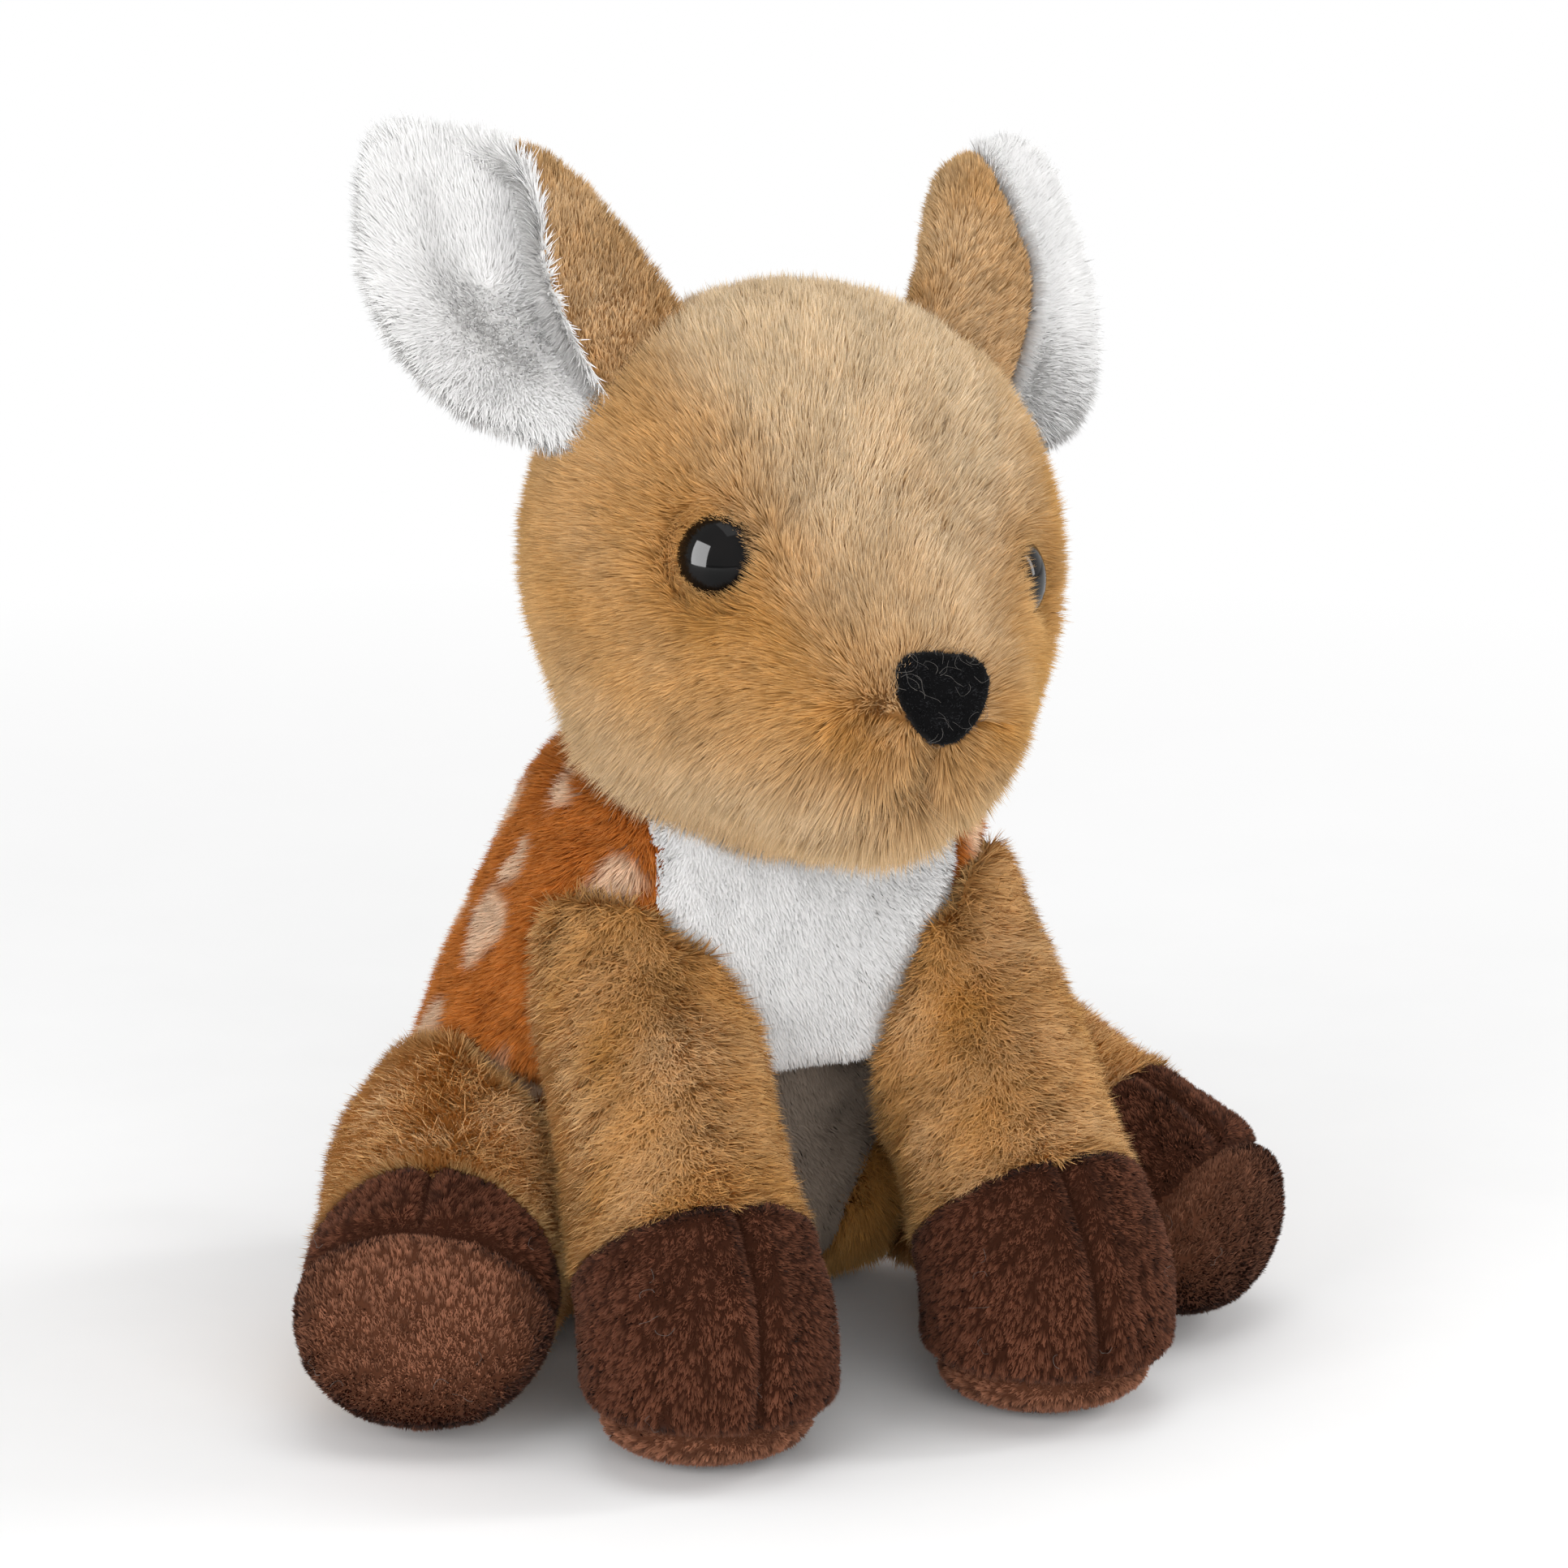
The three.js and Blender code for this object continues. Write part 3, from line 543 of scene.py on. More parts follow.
def scatter(skin, dice, density):
    """Random root places on the skin, so many to a square millimetre."""
    a, b, c = (skin["points"][skin["faces"][:, k]] for k in range(3))
    area = np.linalg.norm(np.cross(b - a, c - a), axis=1) / 2
    count = int(area.sum() * density)
    pick = dice.choice(len(area), count, p=area / area.sum())
    u, v = dice.random(count), dice.random(count)
    flip = u + v > 1
    u[flip], v[flip] = 1 - u[flip], 1 - v[flip]
    weights = np.stack([1 - u - v, u, v], 1)
    corner = skin["faces"][pick]
    sown = {"root": (skin["points"][corner] * weights[:, :, None]).sum(1),
            "normal": unit((skin["normals"][corner] * weights[:, :, None]).sum(1)),
            "room": (skin["room"][corner] * weights).sum(1),
            "seam": (skin["seam"][corner] * weights).sum(1),
            "panel": skin["panel"][corner[:, 0]].copy()}
    mixed = (skin["panel"][corner] != sown["panel"][:, None]).any(1)
    if mixed.any():
        sown["panel"][mixed] = skin["which"](sown["root"][mixed])
    return sown


def part_of(rows, mine):
    """The chosen rows of a set of arrays."""
    return {key: values[mine] for key, values in rows.items()}


print("waves in the nap:", WAVES)

# %% [markdown]
# ## Fibres
# Fibres are too many to make one operator at a time, so whole arrays of them are made at once. Each is a
# slim triangle that leaves the skin, leans along the comb of its panel and ends in a point. Tips are drawn
# together into small locks. A fibre takes its shading from the skin below it, which keeps the pile soft.

# %% Fibres
LENGTH_SPREAD, WIDTH_SPREAD = 0.12, 0.2  # shares by which fibres differ
LEAN_SPREAD, ROLL_SPREAD = 10.0, 25.0  # degrees
LEAN_LEAST, LEAN_MOST, LEAN_IN_TIGHT = 4.0, 80.0, 30.0  # degrees, the last where there is no room
ROOT_DEPTH, FLOOR_GAP = 0.25, 0.12  # mm below the skin, and mm kept above the floor
# the darkening of a seam is painted shade in its groove
SEAM_FADE, SEAM_LINE = 2.2, 1.1  # mm over which a seam shortens the pile, and darkens it
SHADE_SKIN, SHADE_FIBRE, SHADE_SPREAD = 0.9, 0.3, 0.08  # what a fibre's shading is made of
CLOUD_TONE, CLOUD_SIZE = 0.05, 16.0  # broad changes of tone, and their size in mm
LOCK_REACH = 0.6  # half the space between locks, as a share of their mean spacing


def fibres(sown, comb, spec, dice, grow=None):
    """Slim pointed fibres that stand on the skin: their points, shading normals and tones."""
    root, normal = sown["root"], sown["normal"]
    count = len(root)
    grain = unit(comb.mean(0))
    squeezed = root - spec["long"] * (root @ grain)[:, None] * grain
    chosen = dice.permutation(count)[:max(1, int(count * spec["lock"]))]
    lock, _ = nearest_of(squeezed, squeezed[chosen])
    way = unit(comb) + spec["stray"] * smooth_noise(root, spec["wisp"], SEED + 1, 3)
    way = way + spec["frizz"] * dice.normal(size=(count, 3))
    way = unit(way - (way * normal).sum(1, keepdims=True) * normal)
    length = spec["length"] * (1 + LENGTH_SPREAD * dice.normal(size=count)).clip(0.5, 1.4)
    if grow is not None:
        length *= grow(root)
    lean = spec["lean"] + LEAN_SPREAD * dice.normal(size=count)
    lean += spec["wave"] * smooth_noise(root, spec["wisp"], SEED + 2)[:, 0]
    standing = spec["length"] * math.cos(math.radians(spec["lean"]))
    room = (sown["room"] / standing).clip(0.7, 1.0)
    length *= room * np.clip(spec["seam"] + sown["seam"] / SEAM_FADE, 0, 1)
    lean *= np.minimum(np.linalg.norm(comb, axis=1), 1)
    lean = np.radians((lean + LEAN_IN_TIGHT * (1 - room)).clip(LEAN_LEAST, LEAN_MOST))[:, None]
    base = root - ROOT_DEPTH * normal
    end = base + length[:, None] * (normal * np.cos(lean) + way * np.sin(lean))
    end += spec["pull"] * (root[chosen][lock] - root)
    along = unit(end - base)
    side = unit(np.cross(along, normal))
    roll = np.radians(ROLL_SPREAD) * dice.normal(size=(count, 1))
    side = side * np.cos(roll) + np.cross(along, side) * np.sin(roll)
    wide = spec["width"] * (1 + WIDTH_SPREAD * dice.normal(size=(count, 1))).clip(0.5, 1.6) / 2
    points = np.stack([base - side * wide, base + side * wide, end], 1)
    points[:, :, 2] = np.maximum(points[:, :, 2], FLOOR_GAP)
    shade = SHADE_SKIN * normal + SHADE_FIBRE * np.cross(side, along)
    shade = unit(shade + SHADE_SPREAD * dice.normal(size=(count, 3)))
    tone = 0.5 + spec["tone"] * dice.normal(size=count)
    tone = tone + spec["lock_tone"] * dice.normal(size=len(chosen))[lock]
    tone += spec["lift"] + CLOUD_TONE * smooth_noise(root, CLOUD_SIZE, SEED + 3)[:, 0]
    spread = LOCK_REACH / math.sqrt(spec["density"] * spec["lock"])
    off_lock = np.linalg.norm(squeezed[chosen][lock] - squeezed, axis=1)
    # painted shade between locks: a fibre is darker the further it is from its lock's middle
    tone -= spec["gap"] * np.clip(off_lock / spread, 0, 1.3) ** 2
    # painted shade in the groove of a seam
    tone -= spec["line"] * np.exp(-(sown["seam"] / SEAM_LINE) ** 2)
    return {"points": points, "shade": shade, "tone": tone.clip(0, 1), "root": root,
            "ground": np.full(count, spec["ground"])}


print("fibres start", ROOT_DEPTH, "mm below the skin")

# %% [markdown]
# ## A panel with its pile
# Ground fabric and fibres make one mesh, with the three numbers that the materials read. Its texture chart
# has a column for each step of tone and paleness, from root to tip, so one small picture could hold every
# fibre's colours. The normals are set one by one, because a slim triangle's own normal would glitter.

# %% Panels of pile
TONES, PALES = 16, 8
COLUMN_EDGE, COLUMN_END = 0.15, 0.02  # what is left free at a column's sides and ends
# the ground under the fibres is given a darker tone: painted shade for the depth of the pile
GROUND_TONE = 0.4


def pile_piece(label, skin, keep, hair, material, pale=None):
    """One mesh of a panel: the skin's triangles in keep, and its fibres."""
    used, faces = np.unique(skin["faces"][keep], return_inverse=True)
    faces = faces.reshape(-1, 3)
    ground = skin["points"][used]
    count, per = hair["points"].shape[:2]
    points = np.concatenate([ground, hair["points"].reshape(-1, 3)])
    shade = np.concatenate([skin["normals"][used], np.repeat(hair["shade"], per, 0)])
    start = len(ground) + per * np.arange(count)[:, None]
    loops = np.concatenate([faces.ravel(), (start + [0, 1, 2]).ravel()]).astype(np.int32)
    totals = np.full(len(loops) // 3, 3)
    heights, sides = [0.0, 0.0, 1.0], [0.0, 1.0, 0.5]
    mesh = bpy.data.meshes.new(label)
    mesh.vertices.add(len(points))
    mesh.vertices.foreach_set("co", (points * MM).astype(np.float32).ravel())
    mesh.loops.add(len(loops))
    mesh.loops.foreach_set("vertex_index", loops)
    mesh.polygons.add(len(totals))
    mesh.polygons.foreach_set("loop_start", (np.cumsum(totals) - totals).astype(np.int32))
    mesh.update(calc_edges=True)
    tone = np.concatenate([np.full(len(ground), GROUND_TONE), np.repeat(hair["tone"], per)])
    tip = np.concatenate([np.full(len(ground), hair["ground"].mean()), np.tile(heights, count)])
    side = np.concatenate([np.full(len(ground), 0.5), np.tile(sides, count)])
    light = np.zeros(len(points))
    if pale is not None:
        light = np.concatenate([pale(ground), np.repeat(pale(hair["root"]), per)])
    for key, values in (("tone", tone), ("tip", tip), ("pale", light)):
        mesh.attributes.new(key, "FLOAT", "POINT").data.foreach_set("value", values.astype(np.float32))
    column = np.floor(tone * (TONES - 0.01)) * PALES + np.floor(light * (PALES - 0.01))
    across = (column + COLUMN_EDGE + (1 - 2 * COLUMN_EDGE) * side) / (TONES * PALES)
    chart = np.stack([across, COLUMN_END + (1 - 2 * COLUMN_END) * tip], 1)[loops]
    mesh.uv_layers.new(name="OFBake").data.foreach_set("uv", chart.astype(np.float32).ravel())
    mesh.polygons.foreach_set("use_smooth", np.ones(len(totals), bool))
    mesh.normals_split_custom_set_from_vertices([tuple(n) for n in shade])
    mesh.materials.append(material)
    return linked(label, mesh)


print("texture columns:", TONES * PALES)

# %% [markdown]
# ## Kinds of pile
# Fabrics differ in how their pile grows: plush is long and leans with the nap, velour is short and stands
# in tufts, flock points every way. The sizes are those of the real pile, but a real fibre is ten times
# finer than a render can show, so each fibre here is as wide as a few real ones side by side.

# %% Kinds of pile
USUAL_PILE = dict(
    stray=0.14,  # how far the nap wanders
    wisp=9.0,  # over how many mm it does
    frizz=0.22,  # how far each fibre strays by itself
    wave=3.0,  # degrees by which the lean changes from place to place
    tone=0.12,  # how far fibres differ in tone
    lock_tone=0.16,  # how far locks do
    long=0.0,  # how far locks are drawn out along the nap
    # gap paints shade between locks
    gap=0.0,  # how dark it is between locks
    seam=1.0,  # the share of the length that is left at a seam
    # line paints shade in a seam's groove
    line=0.0,  # how dark a seam is
    # the ground takes the dark of the root: painted shade under the fibres
    ground=0.25,  # the ground fabric's colour, as a place between root and tip
    lift=0.0,  # added to every tone
)


def pile(density, length, width, lean, lock, pull, **other):
    """Fibres to a square mm, sizes in mm, degrees from upright, locks to a fibre, and how far tips join."""
    return dict(USUAL_PILE, density=density, length=length, width=width, lean=lean, lock=lock, pull=pull,
                **other)


PILES = {
    "tan": pile(14.0, 4.4, 0.3, 26, 0.14, 0.3),
    # the legs' lifted tone is painted light: the lamps leave the legs darker than the head
    "leg": pile(14.0, 4.0, 0.32, 46, 0.14, 0.25, frizz=0.45, lift=0.2),
    "forehead": pile(14.0, 4.2, 0.3, 36, 0.14, 0.3, lock_tone=0.11),
    "rust": pile(12.0, 3.2, 0.31, 36, 0.12, 0.25),
    "white": pile(14.0, 1.7, 0.42, 20, 0.3, 0.03, wave=0.0, lock_tone=0.0),
    # the lining's lifted tone is painted light on the raised ear
    "lining": pile(16.0, 2.4, 0.32, 38, 0.3, 0.05, stray=0.06, wave=0.0, lock_tone=0.0, lift=0.1),
    "velour": pile(14.0, 1.2, 0.34, 40, 0.07, 0.5, long=0.7, tone=0.06, lock_tone=0.14, gap=0.44, seam=0.3,
                   line=0.7, ground=0.12, lift=0.1),
    "flock": pile(9.0, 0.8, 0.22, 35, 0.3, 0.2, stray=0.8, wisp=3.0),
}
# the hind legs' tone is lifted further: painted light on their shaded tops
PILES["hind_leg_painted_light"] = dict(PILES["leg"], lift=0.42)
# a shaded copy of the velour: painted shade on the far hind sole
PILES["velour_painted_shade"] = dict(PILES["velour"], lift=-0.4)
print("kinds of pile:", ", ".join(PILES))

# %% [markdown]
# ## Dressing a form
# One function grows the pile of a form panel by panel and lets each piece follow its body. Where a limb is
# sewn on, a piece that reaches back near the joint doesn't follow the limb and is left where it stands.

# %% Dressing
CLEAR_BEHIND, CLEAR_AHEAD = -4.0, 15.0  # mm along the axis of a thing that the pile keeps clear of


def across_axis(points, place, way):
    """How far each point is along an axis, and how far from it."""
    offset = points - place
    height = offset @ way
    return height, np.linalg.norm(offset - height[:, None] * way, axis=1)


def cleared(hair, clear):
    """Leaves out the fibres that would hang in front of a round thing."""
    keep = np.ones(len(hair["root"]), bool)
    for place, way, radius in clear:
        for at in (hair["points"][:, 2], hair["points"].mean(1)):
            height, off = across_axis(at, place, way)
            keep &= (off > radius) | (height < CLEAR_BEHIND) | (height > CLEAR_AHEAD)
    return part_of(hair, keep)


def attach(piece, body, bend=None):
    """Lets a piece follow its body. A bend gives the body it is sewn to, which is not used, and where a turn
    would begin and end; a piece that reaches back before the end is left where it stands.
    """
    if bend:
        sewn_to, start, end = bend
        run = end - start
        along = (corners(piece.data) - start) @ run / (run @ run)
        if along.min() < 1:
            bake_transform(piece)
            return
    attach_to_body(piece, body)


def dress(skin, body, fabrics, combs, also, pale=None, grow=None, clear=(), bend=None):
    """Grows the pile of each panel of a skin, and makes one piece of each panel."""
    dice = np.random.default_rng(SEED + len(skin["points"]))
    top = max(PILES[kind]["density"] for kind, _ in fabrics.values())
    sown = scatter(skin, dice, top)
    thin = dice.random(len(sown["root"]))
    face_panel = skin["panel"][skin["faces"][:, 0]]
    for k, name in enumerate(skin["panels"]):
        kind, slot = fabrics[name]
        mine = part_of(sown, (sown["panel"] == k) & (thin < PILES[kind]["density"] / top))
        hair = cleared(fibres(mine, combs[name](mine["root"]), PILES[kind], dice, grow), clear)
        piece = pile_piece(name + "_plush", skin, face_panel == k, hair, MATERIALS[slot], pale)
        attach(piece, body, bend)
        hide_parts(name)
    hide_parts(*also)


def fixed(x, y, z):
    """A comb that runs the same way everywhere."""
    return lambda at: np.broadcast_to(unit(np.array([x, y, z], float)), at.shape)


PRINTED, WHITE_PILE, TAN_PILE = ("rust", "rust_print_plush"), ("white", "white_plush"), ("tan", "tan_plush")
print("fabrics of the body:", PRINTED, WHITE_PILE, TAN_PILE)

# %% [markdown]
# ## Spots
# The back is a printed plush. Its spots are kept as a list of places round the body, because a printed
# picture would have to be unwrapped first. A little noise makes their edges as uneven as the pile.

# %% Spots
SPOTS = [  # angle from the back towards a side, height, half width and half height
    (95, 97, 3.0, 4.0), (88, 72, 5.5, 7.0), (85, 56, 4.0, 4.5), (89, 84, 2.4, 4.0), (125, 86, 4.0, 5.0),
    (68, 90, 3.5, 5.0), (61, 65, 5.0, 6.5), (64, 42, 4.5, 5.5), (42, 79, 4.5, 6.0), (38, 53, 5.0, 6.0),
    (40, 30, 4.0, 5.0), (15, 92, 3.5, 5.0), (14, 67, 5.0, 6.5), (13, 42, 4.5, 6.0), (108, 50, 3.5, 4.5),
    (16, 22, 4.0, 4.5), (68, 24, 4.0, 4.5),
]
SPOT_FULL, SPOT_END = 0.7, 1.2  # shares of a spot's size where it begins to fade, and ends
SPOT_WOBBLE, SPOT_WOBBLE_SIZE = 1.2, 12.0  # mm
BODY_HEIGHTS, BODY_MIDDLES = [7, 24, 52, 78, 97], [0, -8, -16, -26, -33]  # z, and the y of the middle


def spots(points):
    """How pale the print is at each point: 0 on the ground colour, 1 in a spot."""
    middle = np.interp(points[:, 2], BODY_HEIGHTS, BODY_MIDDLES)
    angle = np.degrees(np.arctan2(np.abs(points[:, 0]), points[:, 1] - middle))
    radius = np.hypot(points[:, 0], points[:, 1] - middle)
    wobble = SPOT_WOBBLE * smooth_noise(points, SPOT_WOBBLE_SIZE, SEED + 5, 2)
    pale = np.zeros(len(points))
    for turn, height, wide, high in SPOTS:
        across = (np.radians(angle - turn) * radius + wobble[:, 0]) / wide
        up = (points[:, 2] - height + wobble[:, 1]) / high
        pale = np.maximum(pale, (SPOT_END - np.hypot(across, up)) / (SPOT_END - SPOT_FULL))
    return pale.clip(0, 1)


print("spots on each side:", len(SPOTS))

# %% [markdown]
# ## Body
# The body is a soft pear. Its back is the printed plush, its front a short white plush in two panels. The
# bib is puffed over the belly below it, which is pressed in where the front legs shade it, and whose white
# plush is greyed with painted shade.

# %% Body
BELLY_TOP, BELLY_HOLLOW = 53.0, 14.0
SEAT_TOP = 34.0
LOW_FRONT = -18.0  # the low front lies ahead of this y
BIB_RISE, BIB_HALF = 30.0, [20.5, 25.5]  # the bib's half width at its foot, and this far above it
BODY_PILE, BIB_PILE = 2.0, 1.2  # how far the pile draws the skin in
HOLLOW_FADE, HOLLOW_FOOT, HOLLOW_FOOT_FADE = 5, 8, 20  # mm below the bib, z of the foot, mm above that
HOLLOW_FRONT, HOLLOW_FRONT_FADE = -25, 14  # y, and mm ahead of it


def belly_half(height):
    """Half the width of the belly panel, which is widest under the bib."""
    return np.interp(height, [20.0, SEAT_TOP, BELLY_TOP], [18.0, 26.0, 28.0])


def torso_spots_and_painted_shade(points):
    """The spots of the back, and painted shade that greys the belly's white plush under the bib."""
    across, height = np.abs(points[:, 0]), points[:, 2]
    # the belly under the bib gets the painted shade
    belly = (height < BELLY_TOP) & (points[:, 1] < LOW_FRONT) & (across < belly_half(height))
    return np.where(belly, 1.0, spots(points))


TORSO = ["back_panel_left", "back_panel_right", "bib_panel", "belly_panel", "seat_panel"]
torso = make_skin("torso", TORSO, ["body_stuffing", "pellet_bag"])
HEAD_NODES = ["forehead_gusset", "cheek_panel_left", "cheek_panel_right", "chin_panel"]
LEG_PARTS = ("leg_outer", "leg_inner", "hoof_outer", "hoof_inner", "sole")
LEG_NODES = {(end, word): [f"{end}_{part}_{word}" for part in LEG_PARTS]
             for end in ("front", "hind") for word in ("left", "right")}
ALL_LEGS = [name for names in LEG_NODES.values() for name in names]
draw_in(torso, dict(dict.fromkeys(TORSO, BODY_PILE), bib_panel=BIB_PILE), HEAD_NODES + ALL_LEGS)
height = torso["points"][:, 2]
below_bib = np.clip((BELLY_TOP - height) / HOLLOW_FADE, 0, 1)
below_bib *= np.clip((height - HOLLOW_FOOT) / HOLLOW_FOOT_FADE, 0, 1)
ahead = np.clip((HOLLOW_FRONT - torso["points"][:, 1]) / HOLLOW_FRONT_FADE, 0, 1)
press(torso, relaxed(BELLY_HOLLOW * below_bib * ahead, torso["edges"], rounds=2)[:, 0])


def torso_panel(at):
    """The panel at each place: the bib keeps to the chest, and the low front is belly and seat."""
    across, height = np.abs(at[:, 0]), at[:, 2]
    panel = distance_to(at, TORSO).argmin(0)
    back = np.where(at[:, 0] > 0, TORSO.index("back_panel_left"), TORSO.index("back_panel_right"))
    bib_half = np.interp(height, [BELLY_TOP, BELLY_TOP + BIB_RISE], BIB_HALF)
    panel = np.where((panel == TORSO.index("bib_panel")) & (across > bib_half), back, panel)
    low = np.where(height < SEAT_TOP, TORSO.index("seat_panel"), back)
    low = np.where(across < belly_half(height), TORSO.index("belly_panel"), low)
    return np.where((height < BELLY_TOP) & (at[:, 1] < LOW_FRONT), low, panel)


torso["which"] = torso_panel
torso["panel"] = torso_panel(torso["points"])
torso["seam"] = seam_distance(torso)
sew(torso, depth=0.8, width=1.8, bulge=0.4)
find_room(torso, ALL_LEGS)
down_back = fixed(0, 0.3, -1)
torso_combs = (down_back, down_back, fixed(0, -0.2, -1), fixed(0, 0, -1), fixed(0, 1, 0))
dress(
    torso, "torso",
    dict(zip(TORSO, (PRINTED, PRINTED, WHITE_PILE, WHITE_PILE, TAN_PILE))),
    dict(zip(TORSO, torso_combs)),
    ["body_stuffing", "pellet_bag"], torso_spots_and_painted_shade,
)

# %% [markdown]
# ## Head
# The head is a ball that runs into a short muzzle, and it tilts to one side. The thread of each eye and of
# the nose draws the fabric in, so those places are pressed before the pile grows, and so is the mouth.

# %% Head
HEAD_AT = np.array([0.0, -50.0, 135.0])
HEAD_AXES = np.array([[0.98481, 0, -0.17365], [0, 1, 0], [0.17365, 0, 0.98481]]).T  # tilted by 10 degrees
NOSE_AT = np.array([0.0, -55.4, -10.5])
NOSE_WAY = unit(np.array([0.0, -0.94, 0.34]))
EYES = {"left": 1, "right": -1}
EYE_TURN, EYE_LIFT = math.radians(44.5), math.radians(4.5)  # from straight ahead, and upwards
EYE_LOOK = [0.74, -0.66, 0.12]
EYE_SINK = 1.6
EYE_SET_IN = 5.45
HEAD_RADIUS = 43.4
HEAD_PILE = 2.6
PRESS_BEHIND = -16.0  # nothing further behind a pressed place than this is moved
MOUTH_DEPTH, MOUTH_HALF = 2.6, 1.6


def in_head(points):
    """From the toy's frame to the head's own."""
    return (points - HEAD_AT) @ HEAD_AXES


def out_of_head(points):
    """From the head's own frame to the toy's."""
    return points @ HEAD_AXES.T + HEAD_AT


def eye_in_head(side):
    """The place of an eye, in the head's own frame."""
    way = np.array([side * math.sin(EYE_TURN) * math.cos(EYE_LIFT), -math.cos(EYE_TURN) * math.cos(EYE_LIFT),
                    math.sin(EYE_LIFT)])
    return (HEAD_RADIUS - EYE_SET_IN) * way


def eye_frame(side):
    """The place of an eye, and the way that it looks."""
    way = unit(np.array(EYE_LOOK) * np.array([side, 1, 1]))
    return out_of_head(eye_in_head(side) - EYE_SINK * way), way @ HEAD_AXES.T


def press_round(skin, place, way, radius, sink, reach):
    """Draws the skin in behind a round thing, and blends that out over a reach."""
    height, off = across_axis(skin["points"], place, way)
    share = 1 - np.clip((off - radius) / reach, 0, 1)
    share = share * share * (3 - 2 * share) * (height > PRESS_BEHIND)
    drop = np.maximum(height + sink, 0) * share
    reshape(skin, skin["points"] - drop[:, None] * way)


head = make_skin("head", HEAD_NODES, ["head_stuffing", "eye_left", "eye_right", "nose"], voxel=3.6)
draw_in(head, dict.fromkeys(HEAD_NODES, HEAD_PILE), TORSO)
sew(head, depth=0.5, width=2.4, bulge=0.2)
nose_place, nose_way = out_of_head(NOSE_AT), NOSE_WAY @ HEAD_AXES.T
clear = [(nose_place, nose_way, 6.5)]
for side in EYES.values():
    place, way = eye_frame(side)
    press_round(head, place, way, radius=6.6, sink=0.5, reach=3.0)
    clear.append((place, way, 5.0))
press_round(head, nose_place, nose_way, radius=7.5, sink=1.0, reach=3.0)


def mouth_line(q):
    """1 along the mouth, which drops from the nose and parts to both sides, and 0 away from it."""
    lip = np.interp(q[:, 2], [-33, -30, -25, -20], [14, 8, 1.5, 0])
    near = (q[:, 1] < -38) & (q[:, 2] < -15) & (q[:, 2] > -34)
    return np.exp(-((np.abs(q[:, 0]) - lip) / MOUTH_HALF) ** 2) * near


press(head, MOUTH_DEPTH * mouth_line(in_head(head["points"])))
print("head pressed at", len(clear), "places and the mouth")

# %% [markdown]
# ## The face's pile
# Three functions of place give the face its look: the comb, which starts at the nose and runs back from
# it, the paleness of the forehead and the jaw, with painted light on the forehead and painted shade beside
# the muzzle and above the eyes, and the length of the pile. They work in the head's own frame, with x to
# its left, y to its back and z up, so the tilt of the head changes nothing in them.

# %% Face
BROW_FOOT, CROWN_END, CROWN_FADE = -14.0, 34.0, 24.0  # z, y, and the mm over which it fades at the back
BROW_HEIGHTS, BROW_HALVES = [-12, 4, 14, 33], [10, 17, 24, 29]
CHEEK_PALE, JAW_PALE, JAW_TOP, JAW_FADE = 0.2, 0.6, -14, 14
# painted shade beside the muzzle and above the eyes
PAINTED_SHADE_PLACES = [((21, -38, -13), 16, 1.0), ((30, -18, 15), 13, 0.6)]  # place, reach and depth on each side
PATCHES, PATCH_SIZE = 0.06, 14.0  # changes of paleness, and their size in mm
CHIN_TOP, CHIN_FADE, CHIN_DOWN = -16, 10, 1.5
TUFT_AT, TUFT_REACH, TUFT_LONGER = [-5, -46, -25], 9, 0.7
BEARD_TOP, BEARD_FADE, BEARD_LONGER = -22, 10, 0.7
EYE_PARTING = 11  # mm round an eye within which the nap turns away from it


def brow_share(q, soft):
    """How far a place belongs to the forehead, which runs down to the nose between the eyes."""
    half = np.interp(q[:, 2], BROW_HEIGHTS, BROW_HALVES)
    share = 1 / (1 + np.exp((np.abs(q[:, 0]) - half) / soft)) * (q[:, 2] > BROW_FOOT)
    return share * np.clip((CROWN_END - q[:, 1]) / CROWN_FADE, 0, 1)


def head_comb(at):
    """Up the forehead, away from the nose on the cheeks, off the eyes and down at the chin."""
    q = in_head(at)
    rise = unit(np.stack([0.012 * q[:, 0], np.full(len(q), 0.55), np.full(len(q), 1.0)], 1))
    away = unit(unit(q - (NOSE_AT + np.array([0, 6, 0]))) + np.array([0, 0.25, -0.3]))
    share = brow_share(q, 4.0)[:, None]
    way = share * rise + (1 - share) * away
    way = way + np.clip((CHIN_TOP - q[:, 2:]) / CHIN_FADE, 0, CHIN_DOWN) * np.array([0, 0, -1.0])
    for side in EYES.values():
        eye = q - eye_in_head(side)
        close = np.exp(-(np.linalg.norm(eye, axis=1, keepdims=True) / EYE_PARTING) ** 2)
        way = way + close * unit(eye)
    return way @ HEAD_AXES.T


def face_pale_painted_light_and_shade(points):
    """The forehead is palest, with painted light that grows towards its top, the jaw paler than the cheeks,
    and painted shade makes the cheeks darkest beside the nose and above the eyes.
    """
    q = in_head(points)
    # painted light: the forehead's nap catches the light from above, so it is paler towards the top
    brow = brow_share(q, 3.0) * np.interp(q[:, 2], [-12, 10, 30], [0.55, 0.85, 1.0])
    cheek = np.full(len(q), CHEEK_PALE)
    for side in EYES.values():
        for place, reach, depth in PAINTED_SHADE_PLACES:
            far = np.linalg.norm(q - np.array(place) * np.array([side, 1, 1]), axis=1)
            cheek *= 1 - depth * np.exp(-(far / reach) ** 2)
    jaw = np.clip((JAW_TOP - q[:, 2]) / JAW_FADE, 0, 1) * JAW_PALE
    patches = PATCHES * smooth_noise(points, PATCH_SIZE, SEED + 6)[:, 0]
    return np.clip(np.maximum(np.maximum(brow, jaw), cheek) + patches, 0, 1)


